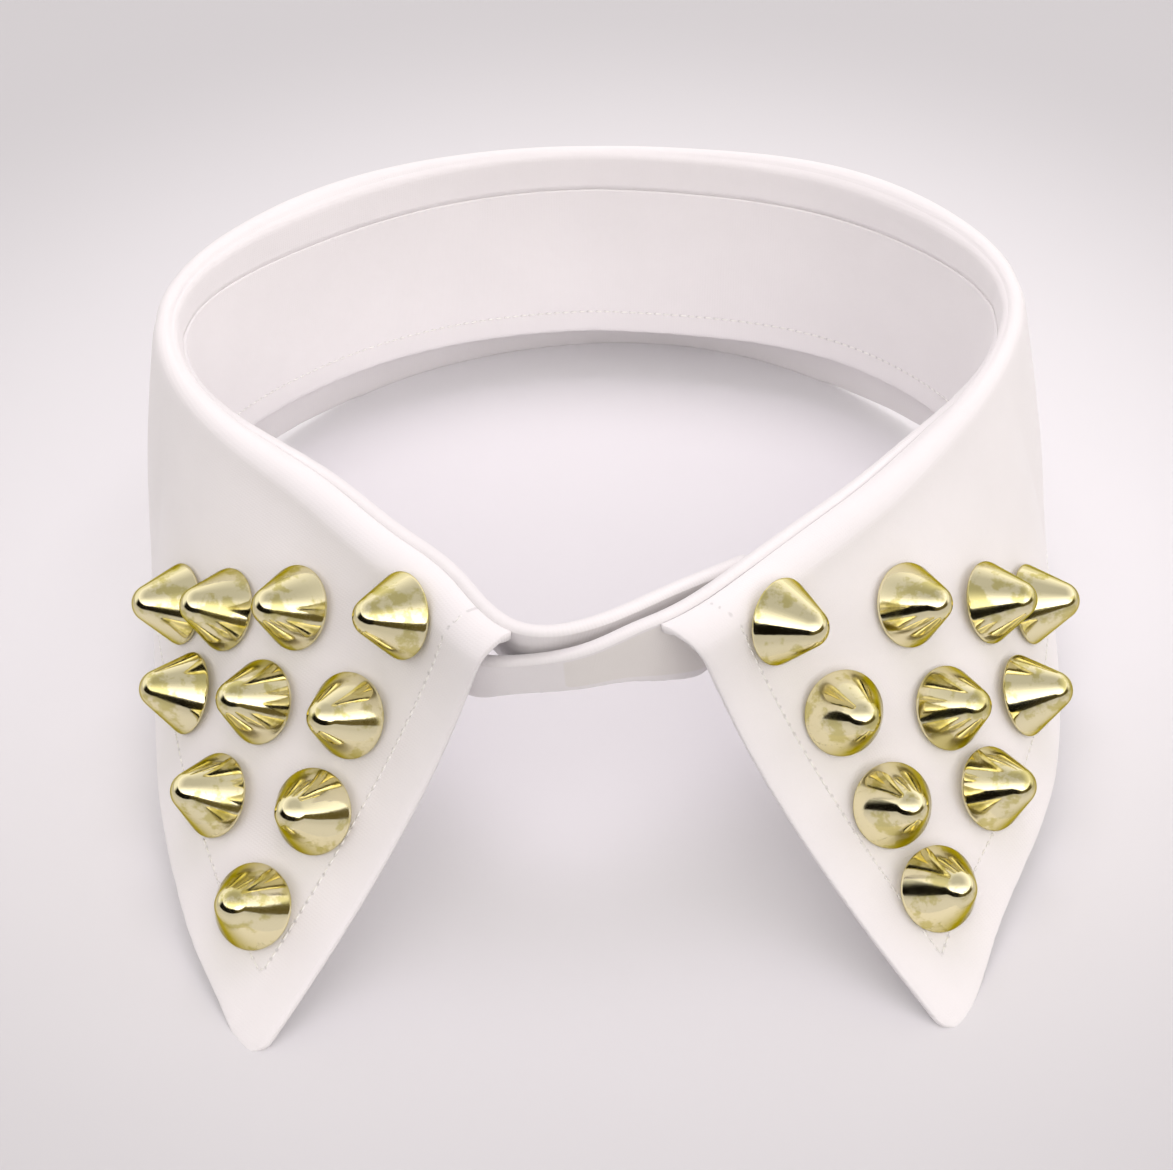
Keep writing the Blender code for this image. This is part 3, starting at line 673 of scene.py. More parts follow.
def cotton(name, colour, sizes, stitch_line, holes, patch=None):
    """White cotton poplin, plain woven and pressed: a matt face with a faint thread ribbing.

    A row of needle holes lies at a distance from the cloth's edge, each darkened by a share of painted
    shade.
    """
    material, tree, shader = new_material(name, colour)
    weave = node(tree, "ShaderNodeUVMap", {"uv_map": "Weave"}).outputs["UV"]
    edge = node(tree, "ShaderNodeUVMap", {"uv_map": "Edge"}).outputs["UV"]
    scale = 2.0 * math.pi / (20.0 * sizes.weave_spacing / MM)
    ribs = {"Scale": scale, "Distortion": 1.2, "Detail": 1.0, "Detail Scale": 0.6}
    warp = node(tree, "ShaderNodeTexWave", {"bands_direction": "X"}, ribs, {"Vector": weave})
    weft = node(tree, "ShaderNodeTexWave", {"bands_direction": "Y"}, ribs, {"Vector": weave})
    threads = node(tree, "ShaderNodeMath", {"operation": "MAXIMUM"}, None,
                   {0: warp.outputs["Fac"], 1: weft.outputs["Fac"]})
    cloud = node(tree, "ShaderNodeTexNoise", None, {"Scale": 0.06, "Detail": 3.0}, {"Vector": weave})
    fuzz = node(tree, "ShaderNodeTexNoise", None, {"Scale": 2.2, "Detail": 4.0}, {"Vector": weave})
    parts = node(tree, "ShaderNodeSeparateXYZ", None, None, {"Vector": edge})
    beside = node(tree, "ShaderNodeMath", {"operation": "PINGPONG"}, {1: 0.5 * sizes.stitch_pitch / MM},
                  {0: parts.outputs["X"]})
    spot = node(tree, "ShaderNodeCombineXYZ", None, None,
                {"X": beside.outputs["Value"], "Y": parts.outputs["Y"]})
    far = node(tree, "ShaderNodeVectorMath", {"operation": "DISTANCE"}, {1: (0.0, stitch_line, 0.0)},
               {0: spot.outputs["Vector"]})
    hole = node(tree, "ShaderNodeMapRange", {"interpolation_type": "SMOOTHSTEP"},
                {"From Min": 0.14, "From Max": 0.34, "To Min": 1.0, "To Max": 0.0},
                {"Value": far.outputs["Value"]})
    shade = node(tree, "ShaderNodeMapRange", None,
                 {"From Min": 0.3, "From Max": 0.7, "To Min": 0.972, "To Max": 1.0},
                 {"Value": cloud.outputs["Fac"]})
    # Painted shade: the colour darkens in each needle hole by the share given in holes
    painted_hole_shade = node(tree, "ShaderNodeMapRange", None, {"To Min": 1.0, "To Max": 1.0 - holes},
                  {"Value": hole.outputs["Result"]})
    level = node(tree, "ShaderNodeMath", {"operation": "MULTIPLY"}, None,
                 {0: shade.outputs["Result"], 1: painted_hole_shade.outputs["Result"]})
    tint = node(tree, "ShaderNodeMix", {"data_type": "RGBA", "blend_type": "MULTIPLY"}, {"Factor": 1.0},
                {7: level.outputs["Value"]})
    tint.inputs[6].default_value = (*colour, 1.0)
    face = tint.outputs[2]
    if patch is not None:
        shown = node(tree, "ShaderNodeMix", {"data_type": "RGBA", "blend_type": "MULTIPLY"}, None,
                     {"Factor": band_patch(tree, weave, edge, patch), 6: face})
        shown.inputs[7].default_value = (0.955, 0.95, 0.91, 1.0)
        face = shown.outputs[2]
    tree.links.new(face, shader.inputs["Base Color"])
    knit = node(tree, "ShaderNodeMath", {"operation": "MULTIPLY_ADD"}, {1: 0.8},
                {0: threads.outputs["Value"], 2: fuzz.outputs["Fac"]})
    height = node(tree, "ShaderNodeMath", {"operation": "MULTIPLY_ADD"}, {1: -5.0},
                  {0: hole.outputs["Result"], 2: knit.outputs["Value"]})
    soft = node(tree, "ShaderNodeBump", None, {"Strength": 0.3, "Distance": 0.0009},
                {"Height": cloud.outputs["Fac"]})
    bump = node(tree, "ShaderNodeBump", None, {"Strength": 0.35, "Distance": 0.00005},
                {"Height": height.outputs["Value"], "Normal": soft.outputs["Normal"]})
    tree.links.new(bump.outputs["Normal"], shader.inputs["Normal"])
    shader.inputs["Roughness"].default_value = 0.85
    shader.inputs["Specular IOR Level"].default_value = 0.25
    shader.inputs["Sheen Weight"].default_value = 0.25
    shader.inputs["Sheen Roughness"].default_value = 0.5
    return material


def leaf_border():
    grid, shares, downs = leaf_grid()
    return grid, refined(border_of(grid[:, RISE_MARKS + 2:], ("first", "last")), 0.25)


class CollarSizes(bpy.types.PropertyGroup):
    """Sizes that a user may change."""

    stitch_inset: FloatProperty(
        name="Stitch inset", description="Distance of the leaf's stitching from its edge",
        default=0.007, min=0.002, max=0.012, unit="LENGTH", subtype="DISTANCE")
    stitch_pitch: FloatProperty(
        name="Stitch length", description="Distance from one needle hole to the next",
        default=0.0015, min=0.001, max=0.004, unit="LENGTH", subtype="DISTANCE")
    thread_width: FloatProperty(
        name="Thread width", description="Width of the sewing thread",
        default=0.0003, min=0.0001, max=0.001, unit="LENGTH", subtype="DISTANCE")
    band_inset: FloatProperty(
        name="Band stitch inset", description="Distance of the band's stitching from its lower edge",
        default=0.0045, min=0.001, max=0.01, unit="LENGTH", subtype="DISTANCE")
    weave_spacing: FloatProperty(
        name="Thread spacing", description="Spacing of the cotton's threads, drawn a little coarse",
        default=0.00045, min=0.0002, max=0.002, unit="LENGTH", subtype="DISTANCE")
    stud_sides: IntProperty(
        name="Stud sides", description="Number of flat strips round a stud",
        default=STUD_SIDES, min=24, max=128)


class CollarColours(bpy.types.PropertyGroup):
    """Colours that a user may change."""

    cotton: FloatVectorProperty(
        name="Cotton", description="Colour of the cloth", subtype="COLOR",
        default=linear("#F2EFF0"), min=0.0, max=1.0)
    thread: FloatVectorProperty(
        name="Thread", description="Colour of the sewing thread", subtype="COLOR",
        default=linear("#F5F3F0"), min=0.0, max=1.0)
    gold: FloatVectorProperty(
        name="Gold", description="Colour of the studs' plating", subtype="COLOR",
        default=linear("#EEE6BE"), min=0.0, max=1.0)
    # Olive colour of the plating's edge tint, and of random patches of painted reflection where gold
    # reflects gold
    edge_tint_and_painted_reflection: FloatVectorProperty(
        name="Edge tint and painted reflection", description="Colour of the plating where it has yellowed", subtype="COLOR",
        default=linear("#B9AE3C"), min=0.0, max=1.0)
    prong: FloatVectorProperty(
        name="Prong", description="Colour of the prongs", subtype="COLOR",
        default=linear("#C9C3B0"), min=0.0, max=1.0)
    button: FloatVectorProperty(
        name="Button", description="Colour of the button", subtype="COLOR",
        default=linear("#F1EEEA"), min=0.0, max=1.0)
    floor: FloatVectorProperty(
        name="Floor", description="Colour of the surface", subtype="COLOR",
        default=linear("#F5F4F7"), min=0.0, max=1.0)


def edge_map(grid, border):
    """Give each point's edge coordinates, (along, away) in millimetres, and its distance."""
    near, along = edge_distance(grid, border)
    return np.stack((along, near), axis=2), near


def weave_map(grid):
    """Give each point's cloth coordinates in millimetres, along the collar and down it."""
    rows, columns = grid.shape[:2]
    along = np.linalg.norm(np.diff(grid, axis=0), axis=2).mean(axis=1)
    down = np.linalg.norm(np.diff(grid, axis=1), axis=2)
    u = np.concatenate(([0.0], np.cumsum(along)))
    v = np.concatenate((np.zeros((rows, 1)), np.cumsum(down, axis=1)), axis=1)
    return np.stack((np.repeat(u[:, None], columns, axis=1), v), axis=2)


class COLLAR_OT_leaf(bpy.types.Operator):
    """Make the leaf: folded over the stand, with two long points"""

    bl_idname = "collar.leaf"
    bl_label = "Leaf"

    def execute(self, context):
        scene = context.scene
        grid, border = leaf_border()
        edge, near = edge_map(grid, border)
        seam = np.linalg.norm(grid - grid[:, :1], axis=2) + 0.85
        weights = wall_weights(np.minimum(near, seam))
        # The last number is the share of painted shade in the needle holes
        material = cotton("pressed_cotton_poplin_leaf", tuple(scene.collar_colours.cotton),
                          scene.collar_sizes, scene.collar_sizes.stitch_inset / MM, 0.16)
        leaf = cloth("leaf_cloth", grid, weave_map(grid), edge, weights, LEAF_WALL, material)
        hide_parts("collar_leaf")
        return {"FINISHED"}


def stand_grid():
    """Give the stand's middle surface as sections of points from its top edge down."""
    places = edge_marks(STAND_RUN[2], STAND_STEP, True)
    turns = np.interp(places, STAND_RUN[1], STAND_RUN[0])
    downs = edge_marks(26.0, STAND_STEP, True)
    rows = []
    for turn in turns:
        top, _, up = stand_frame(turn)
        rows.append(top + up * SEAM_CLOSE - up * (HEIGHT(turn) + SEAM_CLOSE) * downs[:, None])
    return np.array(rows), turns


def button_frame():
    """Give the middle of the band under the button, and the directions along, out and up."""
    top, out, up = stand_frame(BUTTON_TURN)
    return top - up * BUTTON_DOWN * HEIGHT(BUTTON_TURN), np.cross(up, out), out, up


def in_buttonhole(point):
    middle, along, out, up = button_frame()
    away = point - middle
    level = abs(float(away @ along)) < 0.5 * SLOT_LENGTH and abs(float(away @ up)) < 0.5 * SLOT_HEIGHT
    return level and abs(float(away @ out)) < 3.0


def band_patch(tree, weave, edge, run):
    """Show the stiffening faintly through the outer band, as a patch with soft, rounded edges."""
    along = node(tree, "ShaderNodeSeparateXYZ", None, None, {"Vector": weave})
    away = node(tree, "ShaderNodeSeparateXYZ", None, None, {"Vector": edge})
    place = node(tree, "ShaderNodeCombineXYZ", None, None,
                 {"X": along.outputs["X"], "Y": away.outputs["Y"]})
    first, last = CROSSED_MARK + PATCH_EDGE, CROSSED_MARK + 40.0
    middle = (0.5 * (run[0] + run[1]), 0.5 * (first + last), 0.0)
    half = (0.5 * (run[1] - run[0]) - 1.0, 0.5 * (last - first) - 1.0, 0.0)
    off = node(tree, "ShaderNodeVectorMath", {"operation": "SUBTRACT"}, {1: middle},
               {0: place.outputs["Vector"]})
    span = node(tree, "ShaderNodeVectorMath", {"operation": "ABSOLUTE"}, None, {0: off.outputs["Vector"]})
    over = node(tree, "ShaderNodeVectorMath", {"operation": "SUBTRACT"}, {1: half},
                {0: span.outputs["Vector"]})
    outside = node(tree, "ShaderNodeVectorMath", {"operation": "MAXIMUM"}, None,
                   {0: over.outputs["Vector"]})
    gap = node(tree, "ShaderNodeVectorMath", {"operation": "LENGTH"}, None, {0: outside.outputs["Vector"]})
    shown = node(tree, "ShaderNodeMapRange", {"interpolation_type": "SMOOTHSTEP"},
                 {"From Min": 0.75, "From Max": 1.15, "To Min": 1.0, "To Max": 0.0},
                 {"Value": gap.outputs["Value"]})
    under = node(tree, "ShaderNodeMapRange", {"interpolation_type": "SMOOTHSTEP"},
                 {"From Min": 0.3, "From Max": 0.8}, {"Value": along.outputs["Y"]})
    both = node(tree, "ShaderNodeMath", {"operation": "MULTIPLY"}, None,
                {0: shown.outputs["Result"], 1: under.outputs["Result"]})
    return both.outputs["Value"]


class COLLAR_OT_stand(bpy.types.Operator):
    """Make the stand: the band round the neck with its crossed ends"""

    bl_idname = "collar.stand"
    bl_label = "Stand"

    def execute(self, context):
        scene = context.scene
        grid, turns = stand_grid()
        edge, near = edge_map(grid, refined(border_of(grid, ()), 0.25))
        _, rim = edge_map(grid, refined(border_of(grid, ("first", "last")), 0.3))
        top = np.linalg.norm(grid - grid[:, :1], axis=2) + 0.85
        rim = np.minimum(rim, top)
        edge[np.abs(turns) > STITCH_TURN, :, 1] += CROSSED_MARK
        weave = weave_map(grid)
        run = [float(np.interp(turn, turns, weave[:, 0, 0])) for turn in PATCH_TURNS]
        # 0.18 is the share of painted shade in the needle holes
        material = cotton("pressed_cotton_poplin_stand", tuple(scene.collar_colours.cotton),
                          scene.collar_sizes, scene.collar_sizes.band_inset / MM, 0.18,
                          run)
        stand = cloth("stand_cloth", grid, weave, edge, wall_weights(rim), STAND_WALL, material,
                      in_buttonhole)
        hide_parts("collar_stand")
        return {"FINISHED"}


def offset_path(grid, border, inset, side):
    """Give points on a cloth's face a set distance in from its border, with the face's direction."""
    normals = grid_normals(grid)
    flat_points = grid.reshape(-1, 3)
    flat_normals = normals.reshape(-1, 3)
    square = (flat_points ** 2).sum(axis=1)
    found = []
    for i in range(1, len(border) - 1):
        run = border[i + 1] - border[i - 1]
        run /= np.linalg.norm(run)
        here = int((square - 2.0 * flat_points @ border[i]).argmin())
        inward = np.cross(run, flat_normals[here])
        inward /= np.linalg.norm(inward)
        point = border[i] + inward * inset
        for _ in range(2):
            best = int((square - 2.0 * flat_points @ point).argmin())
            point = point - flat_normals[best] * float((point - flat_points[best]) @ flat_normals[best])
        gap = np.linalg.norm(border - point, axis=1).min()
        if gap < inset - 0.25 or np.linalg.norm(flat_points[best] - point) > 1.5:
            continue
        found.append((point, flat_normals[best] * side))
    return found


def add_stitch(work, start, end, normal, width):
    """Add one stitch: a short rounded thread that dips into the cloth at both ends."""
    middle = (start + end) / 2.0
    length = np.linalg.norm(end - start)
    run = (end - start) / length
    across = np.cross(normal, run)
    made = bmesh.ops.create_icosphere(work, subdivisions=1, radius=0.5)
    turn = Matrix(np.column_stack((run * length * 0.92, across * width, normal * width)).tolist())
    move = Matrix.Translation(Vector(middle * MM)) @ Matrix.Scale(MM, 4) @ turn.to_4x4()
    bmesh.ops.transform(work, matrix=move, verts=made["verts"])


def sew(work, path, pitch, width, wall):
    """Sew a line of stitches along a path on a cloth's face."""
    points = np.array([row[0] for row in path])
    normals = np.array([row[1] for row in path])
    jumps = np.linalg.norm(np.diff(points, axis=0), axis=1)
    lengths = np.concatenate(([0.0], np.cumsum(jumps)))
    marks = np.arange(0.0, lengths[-1], pitch)
    spots = np.column_stack([np.interp(marks, lengths, points[:, axis]) for axis in range(3)])
    faces = np.column_stack([np.interp(marks, lengths, normals[:, axis]) for axis in range(3)])
    faces /= np.linalg.norm(faces, axis=1)[:, None]
    spots = spots + faces * (0.5 * wall + 0.05 * width)
    for i in range(len(spots) - 1):
        if np.linalg.norm(spots[i + 1] - spots[i]) < 1.6 * pitch:
            add_stitch(work, spots[i], spots[i + 1], faces[i], width)


class COLLAR_OT_stitches(bpy.types.Operator):
    """Sew the leaf's edge stitching and the band's lower stitching"""

    bl_idname = "collar.stitches"
    bl_label = "Stitches"

    def execute(self, context):
        scene = context.scene
        sizes = scene.collar_sizes
        width = sizes.thread_width / MM
        pitch = sizes.stitch_pitch / MM
        material, tree, shader = new_material("spun_cotton_thread", tuple(scene.collar_colours.thread))
        shader.inputs["Base Color"].default_value = (*scene.collar_colours.thread, 1.0)
        shader.inputs["Roughness"].default_value = 0.7
        shader.inputs["Sheen Weight"].default_value = 0.3
        coords = node(tree, "ShaderNodeTexCoord").outputs["Object"]
        twist = node(tree, "ShaderNodeTexNoise", None, {"Scale": 9000.0}, {"Vector": coords})
        bump = node(tree, "ShaderNodeBump", None, {"Strength": 0.4, "Distance": 0.00004},
                    {"Height": twist.outputs["Fac"]})
        tree.links.new(bump.outputs["Normal"], shader.inputs["Normal"])
        work = bmesh.new()
        grid, border = leaf_border()
        path = offset_path(grid, refined(border, 0.75), sizes.stitch_inset / MM, 1.0)
        sew(work, path, pitch, width, LEAF_WALL)
        thread = finish("leaf_stitches", work, material)
        work = bmesh.new()
        grid, turns = stand_grid()
        grid = grid[np.abs(turns) < STITCH_TURN]
        border = refined(grid[:, -1], 0.75)
        for side in (1.0, -1.0):
            path = offset_path(grid, border, sizes.band_inset / MM, side)
            sew(work, path, pitch, width, STAND_WALL)
        thread = finish("band_stitches", work, material)
        return {"FINISHED"}


def solid_axis(thing):
    """Give the middle of a round solid's base and its axis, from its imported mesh."""
    points = np.array([tuple(vertex.co) for vertex in thing.data.vertices]) / MM
    points = np.unique(points.round(4), axis=0)
    middle = points.mean(axis=0)
    spread = points - middle
    values, vectors = np.linalg.eigh(spread.T @ spread)
    gaps = (values[1] - values[0], values[2] - values[1])
    axis = vectors[:, 0] if gaps[0] > gaps[1] else vectors[:, 2]
    heights = spread @ axis
    reaches = np.linalg.norm(spread - heights[:, None] * axis, axis=1)
    if reaches[heights.argmax()] > reaches[heights.argmin()]:
        axis, heights = -axis, -heights
    return middle + axis * heights.min(), axis


def spun(work, outline, steps, place, axis):
    """Turn an outline of (distance, height) in millimetres into a round solid on a place."""
    verts = [work.verts.new((reach * MM, 0.0, height * MM)) for reach, height in outline]
    edges = [work.edges.new(pair) for pair in zip(verts, verts[1:])]
    made = bmesh.ops.spin(work, geom=verts + edges, cent=(0.0, 0.0, 0.0), axis=(0.0, 0.0, 1.0),
                          dvec=(0.0, 0.0, 0.0), angle=math.radians(360.0), steps=steps, use_merge=True)
    bmesh.ops.remove_doubles(work, verts=work.verts, dist=0.000005)
    swing = Vector(axis).to_track_quat("Z", "Y").to_matrix().to_4x4()
    bmesh.ops.transform(work, matrix=Matrix.Translation(Vector(place) * MM) @ swing, verts=work.verts)
    bmesh.ops.recalc_face_normals(work, faces=work.faces)
    return made


def stud_outline():
    """Give a stud's outline: flat base, rounded rim, straight cone and rounded tip."""
    outline = [(0.0, 0.0), (STUD_RADIUS - 0.3, 0.0)]
    for step in range(5):
        bend = math.radians(-90.0 + 130.0 * step / 4)
        outline.append((STUD_RADIUS - 0.3 + 0.3 * math.cos(bend), 0.3 + 0.3 * math.sin(bend)))
    reach = STUD_RADIUS - 0.14
    low = STUD_RIM
    middle = STUD_HEIGHT - STUD_TIP
    slope = math.atan2(middle - low, reach) + math.asin(STUD_TIP / math.hypot(reach, middle - low))
    outline.append((reach, low))
    for step in range(9):
        bend = slope * (1.0 - step / 9)
        outline.append((STUD_TIP * math.sin(bend), middle + STUD_TIP * math.cos(bend)))
    return outline[:1] + outline[2:] + [(0.0, STUD_HEIGHT)]


def gold_plate(name, colour, edge_tint_and_painted_reflection):
    """Pale champagne gold plate on stamped brass: a soft mirror, yellower where it curves away."""
    material, tree, shader = new_material(name, colour)
    coords = node(tree, "ShaderNodeTexCoord").outputs["Object"]
    smear = node(tree, "ShaderNodeTexNoise", None, {"Scale": 260.0, "Detail": 5.0, "Roughness": 0.6},
                 {"Vector": coords})
    fine = node(tree, "ShaderNodeTexNoise", None, {"Scale": 1500.0, "Detail": 3.0}, {"Vector": coords})
    rough = node(tree, "ShaderNodeMapRange", None,
                 {"From Min": 0.35, "From Max": 0.7, "To Min": 0.07, "To Max": 0.17},
                 {"Value": smear.outputs["Fac"]})
    tree.links.new(rough.outputs["Result"], shader.inputs["Roughness"])
    bump = node(tree, "ShaderNodeBump", None, {"Strength": 0.10, "Distance": 0.00006},
                {"Height": fine.outputs["Fac"]})
    tree.links.new(bump.outputs["Normal"], shader.inputs["Normal"])
    shader.inputs["Metallic"].default_value = 1.0
    # Painted reflection: random olive patches mixed into the base colour stand in for the gold reflecting
    # other gold
    painted_reflection_patches = node(tree, "ShaderNodeMapRange", {"interpolation_type": "SMOOTHSTEP"},
                 {"From Min": 0.50, "From Max": 0.60, "To Min": 0.0, "To Max": 0.55},
                 {"Value": smear.outputs["Fac"]})
    tint = node(tree, "ShaderNodeMix", {"data_type": "RGBA"}, None, {"Factor": painted_reflection_patches.outputs["Result"]})
    tint.inputs[6].default_value = (*colour, 1.0)
    tint.inputs[7].default_value = (*edge_tint_and_painted_reflection, 1.0)
    tree.links.new(tint.outputs[2], shader.inputs["Base Color"])
    # The same olive tints the metal's reflections at its edges
    shader.inputs["Specular Tint"].default_value = (*edge_tint_and_painted_reflection, 1.0)
    return material


class COLLAR_OT_studs(bpy.types.Operator):
    """Make the cone studs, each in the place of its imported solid"""

    bl_idname = "collar.studs"
    bl_label = "Studs"

    def execute(self, context):
        scene = context.scene
        material = gold_plate("champagne_gold_plated_brass", tuple(scene.collar_colours.gold),
                              tuple(scene.collar_colours.edge_tint_and_painted_reflection))
        outline = stud_outline()
        for name in sorted(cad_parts):
            if not name.startswith("stud_"):
                continue
            place, axis = solid_axis(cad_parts[name])
            work = bmesh.new()
            spun(work, outline, scene.collar_sizes.stud_sides, place, axis)
            stud = finish(f"cone_{name}", work, material, angle=50.0)
            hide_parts(name)
        return {"FINISHED"}


class COLLAR_OT_prongs(bpy.types.Operator):
    """Give the prongs behind the leaf their metal"""

    bl_idname = "collar.prongs"
    bl_label = "Prongs"

    def execute(self, context):
        colour = tuple(context.scene.collar_colours.prong)
        material, tree, shader = new_material("bent_plated_steel_prong", colour)
        coords = node(tree, "ShaderNodeTexCoord").outputs["Object"]
        marks = node(tree, "ShaderNodeTexNoise", None, {"Scale": 900.0, "Detail": 5.0}, {"Vector": coords})
        rough = node(tree, "ShaderNodeMapRange", None, {"To Min": 0.25, "To Max": 0.5},
                     {"Value": marks.outputs["Fac"]})
        bump = node(tree, "ShaderNodeBump", None, {"Strength": 0.3, "Distance": 0.0001},
                    {"Height": marks.outputs["Fac"]})
        tree.links.new(rough.outputs["Result"], shader.inputs["Roughness"])
        tree.links.new(bump.outputs["Normal"], shader.inputs["Normal"])
        shader.inputs["Base Color"].default_value = (*colour, 1.0)
        shader.inputs["Metallic"].default_value = 1.0
        for name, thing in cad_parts.items():
            if name.startswith("claws_"):
                thing.data.materials.clear()
                thing.data.materials.append(material)
        return {"FINISHED"}


class COLLAR_OT_button(bpy.types.Operator):
    """Make the button that holds the crossed ends"""

    bl_idname = "collar.button"
    bl_label = "Button"

    def execute(self, context):
        colour = tuple(context.scene.collar_colours.button)
        material, tree, shader = new_material("cast_resin_button", colour)
        coords = node(tree, "ShaderNodeTexCoord").outputs["Object"]
        swirl = node(tree, "ShaderNodeTexNoise", None, {"Scale": 300.0, "Distortion": 1.5},
                     {"Vector": coords})
        tint = node(tree, "ShaderNodeMix", {"data_type": "RGBA"}, None,
                    {"Factor": swirl.outputs["Fac"]})
        tint.inputs[6].default_value = (*colour, 1.0)
        tint.inputs[7].default_value = (*[c * 0.93 for c in colour], 1.0)
        tree.links.new(tint.outputs[2], shader.inputs["Base Color"])
        shader.inputs["Roughness"].default_value = 0.3
        middle, _, out, _ = button_frame()
        back = 0.5 * STAND_WALL + SEAM_GAP
        foot = min(float((np.array(tuple(v.co)) / MM - middle) @ out)
                   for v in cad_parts["front_button"].data.vertices)
        top = back + BUTTON_THICK
        outline = [(0.0, foot), (0.5, foot), (0.6, foot + 0.2), (0.6, back), (BUTTON_RADIUS - 0.5, back),
                   (BUTTON_RADIUS - 0.15, back + 0.15), (BUTTON_RADIUS, back + 0.5),
                   (BUTTON_RADIUS, top - 0.4), (BUTTON_RADIUS - 0.15, top - 0.1),
                   (BUTTON_RADIUS - 0.5, top), (BUTTON_RADIUS - 1.1, top - 0.02),
                   (BUTTON_RADIUS - 1.5, top - 0.3), (0.0, top - 0.35)]
        work = bmesh.new()
        spun(work, outline, 48, middle, out)
        button = finish("button_with_shank", work, material, angle=50.0)
        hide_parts("front_button")
        return {"FINISHED"}


def add_light(name, place, aim, size, power, colour):
    """Add a soft rectangular light that looks at a point."""
    light = bpy.data.lights.new(name, "AREA")
    light.shape = "RECTANGLE"
    light.size, light.size_y = size
    light.energy = power
    light.color = colour
    thing = bpy.data.objects.new(name, light)
    thing.location = Vector(place)
    thing.rotation_mode = "QUATERNION"
    thing.rotation_quaternion = (Vector(aim) - Vector(place)).to_track_quat("-Z", "Y")
    thing.visible_glossy = False
    bpy.context.scene.collection.objects.link(thing)
    return thing


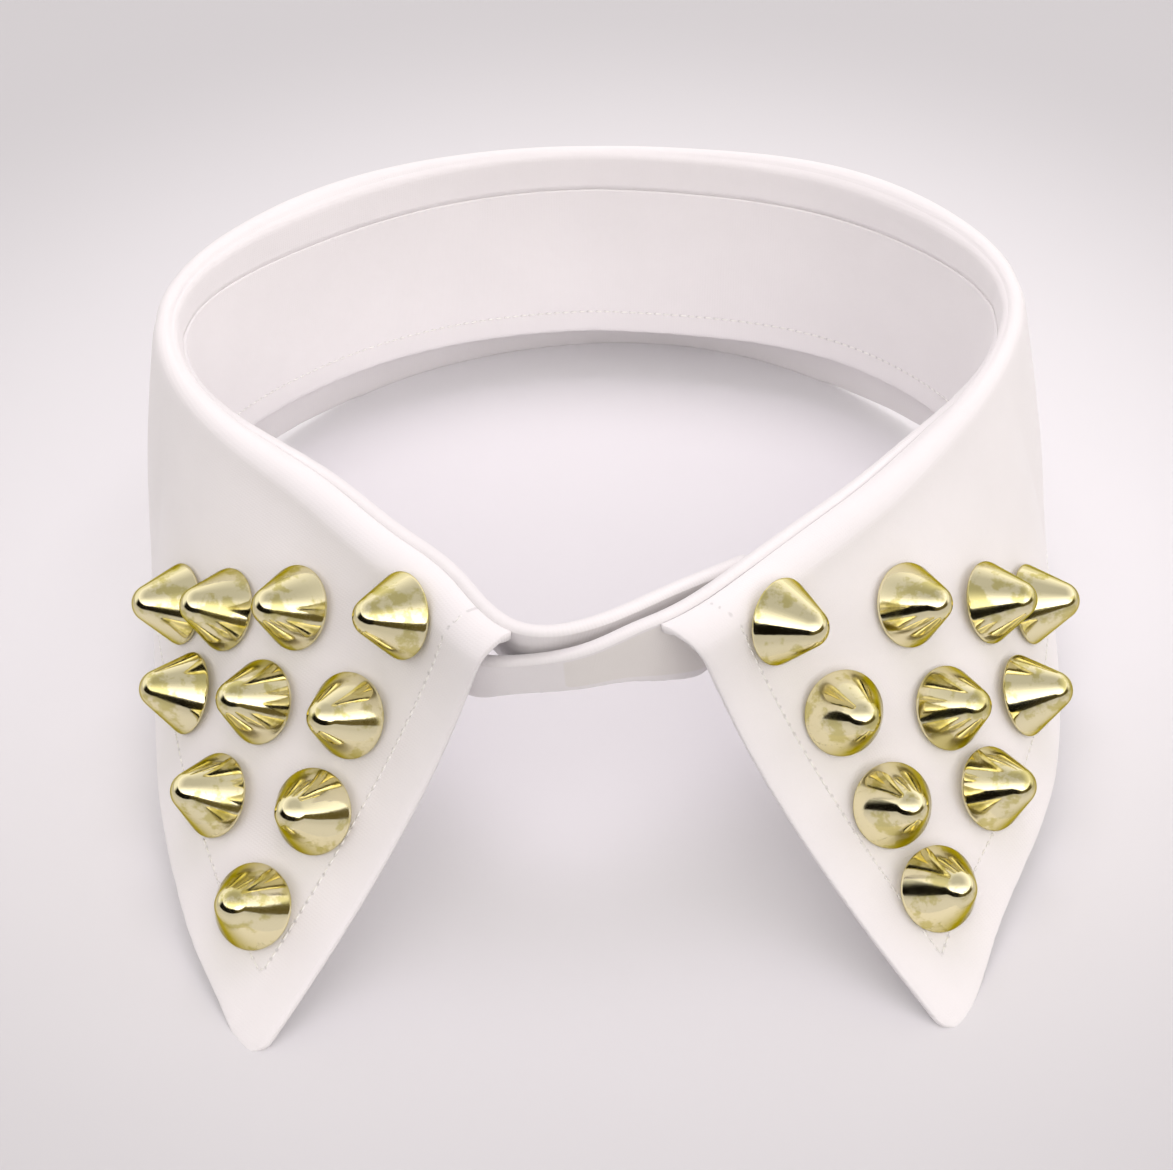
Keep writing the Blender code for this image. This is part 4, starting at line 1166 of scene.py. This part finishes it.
class COLLAR_OT_stage(bpy.types.Operator):
    """Add the floor, the light and the camera"""

    bl_idname = "collar.stage"
    bl_label = "Stage"

    def execute(self, context):
        scene = context.scene
        colour = tuple(scene.collar_colours.floor)
        material, tree, shader = new_material("matt_paper_floor", colour)
        coords = node(tree, "ShaderNodeTexCoord").outputs["Object"]
        # Painted light: the floor's colour darkens away from its middle point, a painted pool of light
        reach = node(tree, "ShaderNodeVectorMath", {"operation": "DISTANCE"}, {1: PAINTED_POOL_MIDDLE},
                     {0: coords})
        painted_light_falloff = node(tree, "ShaderNodeMapRange", {"interpolation_type": "SMOOTHSTEP"},
                    {"From Min": PAINTED_POOL_FADE[0], "From Max": PAINTED_POOL_FADE[1]},
                    {"Value": reach.outputs["Value"]})
        tint = node(tree, "ShaderNodeMix", {"data_type": "RGBA"}, None, {"Factor": painted_light_falloff.outputs["Result"]})
        tint.inputs[6].default_value = (*colour, 1.0)
        tint.inputs[7].default_value = (*[c * PAINTED_POOL_DIM for c in colour], 1.0)
        tree.links.new(tint.outputs[2], shader.inputs["Base Color"])
        shader.inputs["Roughness"].default_value = 0.9
        shader.inputs["Specular IOR Level"].default_value = 0.1
        work = bmesh.new()
        bmesh.ops.create_grid(work, x_segments=1, y_segments=1, size=0.75)
        mesh = bpy.data.meshes.new("floor")
        work.to_mesh(mesh)
        work.free()
        mesh.materials.append(material)
        floor = bpy.data.objects.new("floor", mesh)
        scene.collection.objects.link(floor)
        world = bpy.data.worlds.new("studio")
        scene.world = world
        world.use_nodes = True
        tree = world.node_tree
        back = tree.nodes["Background"]
        coords = node(tree, "ShaderNodeTexCoord").outputs["Generated"]
        parts = node(tree, "ShaderNodeSeparateXYZ", None, None, {"Vector": coords})
        brim = node(tree, "ShaderNodeMapRange", {"interpolation_type": "SMOOTHSTEP"},
                    {"From Min": -0.15, "From Max": 0.5, "To Min": DARK_TOP[0], "To Max": DARK_TOP[1]},
                    {"Value": parts.outputs["X"]})
        over = node(tree, "ShaderNodeMath", {"operation": "SUBTRACT"}, None,
                    {0: parts.outputs["Z"], 1: brim.outputs["Result"]})
        high = node(tree, "ShaderNodeMapRange", {"interpolation_type": "SMOOTHSTEP"},
                    {"From Min": 0.0, "From Max": 0.06}, {"Value": over.outputs["Value"]})
        right = node(tree, "ShaderNodeMapRange", {"interpolation_type": "SMOOTHSTEP"},
                     {"From Min": -0.1, "From Max": 0.5}, {"Value": parts.outputs["X"]})
        dark = node(tree, "ShaderNodeMix", {"data_type": "RGBA"}, None, {"Factor": right.outputs["Result"]})
        dark.inputs[6].default_value = (*linear("#0F0C07"), 1.0)
        dark.inputs[7].default_value = (*linear("#5E5330"), 1.0)
        behind = node(tree, "ShaderNodeMapRange", {"interpolation_type": "SMOOTHSTEP"},
                      {"From Min": -0.15, "From Max": 0.2}, {"Value": parts.outputs["Y"]})
        low = node(tree, "ShaderNodeMix", {"data_type": "RGBA"}, None, {"Factor": behind.outputs["Result"]})
        tree.links.new(dark.outputs[2], low.inputs[6])
        low.inputs[7].default_value = (*linear("#FFFBF6"), 1.0)
        window = node(tree, "ShaderNodeMapRange", {"interpolation_type": "SMOOTHSTEP"},
                      {"From Min": -0.1, "From Max": -0.75, "To Min": 1.0, "To Max": FRONT_LIGHT},
                      {"Value": parts.outputs["Y"]})
        fall = node(tree, "ShaderNodeMapRange", None,
                    {"From Min": 0.3, "From Max": 0.9, "To Min": 1.35, "To Max": 0.55},
                    {"Value": parts.outputs["Z"]})
        glow = node(tree, "ShaderNodeMath", {"operation": "MULTIPLY"}, None,
                    {0: window.outputs["Result"], 1: fall.outputs["Result"]})
        bright = node(tree, "ShaderNodeVectorMath", {"operation": "SCALE"}, None,
                      {"Scale": glow.outputs["Value"]})
        bright.inputs[0].default_value = linear("#FFFAF7")
        room = node(tree, "ShaderNodeMix", {"data_type": "RGBA"}, None, {"Factor": high.outputs["Result"]})
        tree.links.new(low.outputs[2], room.inputs[6])
        tree.links.new(bright.outputs["Vector"], room.inputs[7])
        tree.links.new(room.outputs[2], back.inputs["Color"])
        back.inputs["Strength"].default_value = ROOM_LIGHT
        add_light("over", (0.02, 0.06, 0.5), (0.0, 0.0, 0.0), (0.3, 0.26), KEY_LIGHT, KEY_COLOUR)
        camera = bpy.data.cameras.new("camera")
        camera.sensor_width = 36.0
        camera.lens = CAMERA_LENS
        camera.clip_start = 0.01
        camera.clip_end = 20.0
        thing = bpy.data.objects.new("camera", camera)
        pitch = math.radians(CAMERA_PITCH)
        aim = Vector(CAMERA_AIM) * MM
        thing.location = aim + Vector((0.0, -math.cos(pitch), math.sin(pitch))) * CAMERA_FAR * MM
        thing.rotation_mode = "QUATERNION"
        thing.rotation_quaternion = (aim - thing.location).to_track_quat("-Z", "Y")
        scene.collection.objects.link(thing)
        scene.camera = thing
        scene.view_settings.view_transform = "Standard"
        return {"FINISHED"}


OPERATORS = (COLLAR_OT_leaf, COLLAR_OT_stand, COLLAR_OT_stitches, COLLAR_OT_studs,
             COLLAR_OT_prongs, COLLAR_OT_button, COLLAR_OT_stage)


class COLLAR_PT_panel(bpy.types.Panel):
    """Buttons for the collar's pieces"""

    bl_idname = "COLLAR_PT_panel"
    bl_label = "Collar"
    bl_space_type = "VIEW_3D"
    bl_region_type = "UI"
    bl_category = "Collar"

    def draw(self, context):
        layout = self.layout
        for group in (context.scene.collar_sizes, context.scene.collar_colours):
            for name in group.bl_rna.properties.keys():
                if name not in ("rna_type", "name"):
                    layout.prop(group, name)
        for operator in OPERATORS:
            layout.operator(operator.bl_idname)


CLASSES = (CollarSizes, CollarColours, *OPERATORS, COLLAR_PT_panel)


def register():
    for kind in CLASSES:
        bpy.utils.register_class(kind)
    bpy.types.Scene.collar_sizes = PointerProperty(type=CollarSizes)
    bpy.types.Scene.collar_colours = PointerProperty(type=CollarColours)


def unregister():
    del bpy.types.Scene.collar_colours
    del bpy.types.Scene.collar_sizes
    for kind in reversed(CLASSES):
        bpy.utils.unregister_class(kind)


def main():
    register()
    bpy.ops.collar.leaf()
    bpy.ops.collar.stand()
    bpy.ops.collar.stitches()
    bpy.ops.collar.studs()
    bpy.ops.collar.prongs()
    bpy.ops.collar.button()
    bpy.ops.collar.stage()


if __name__ == "__main__":
    main()
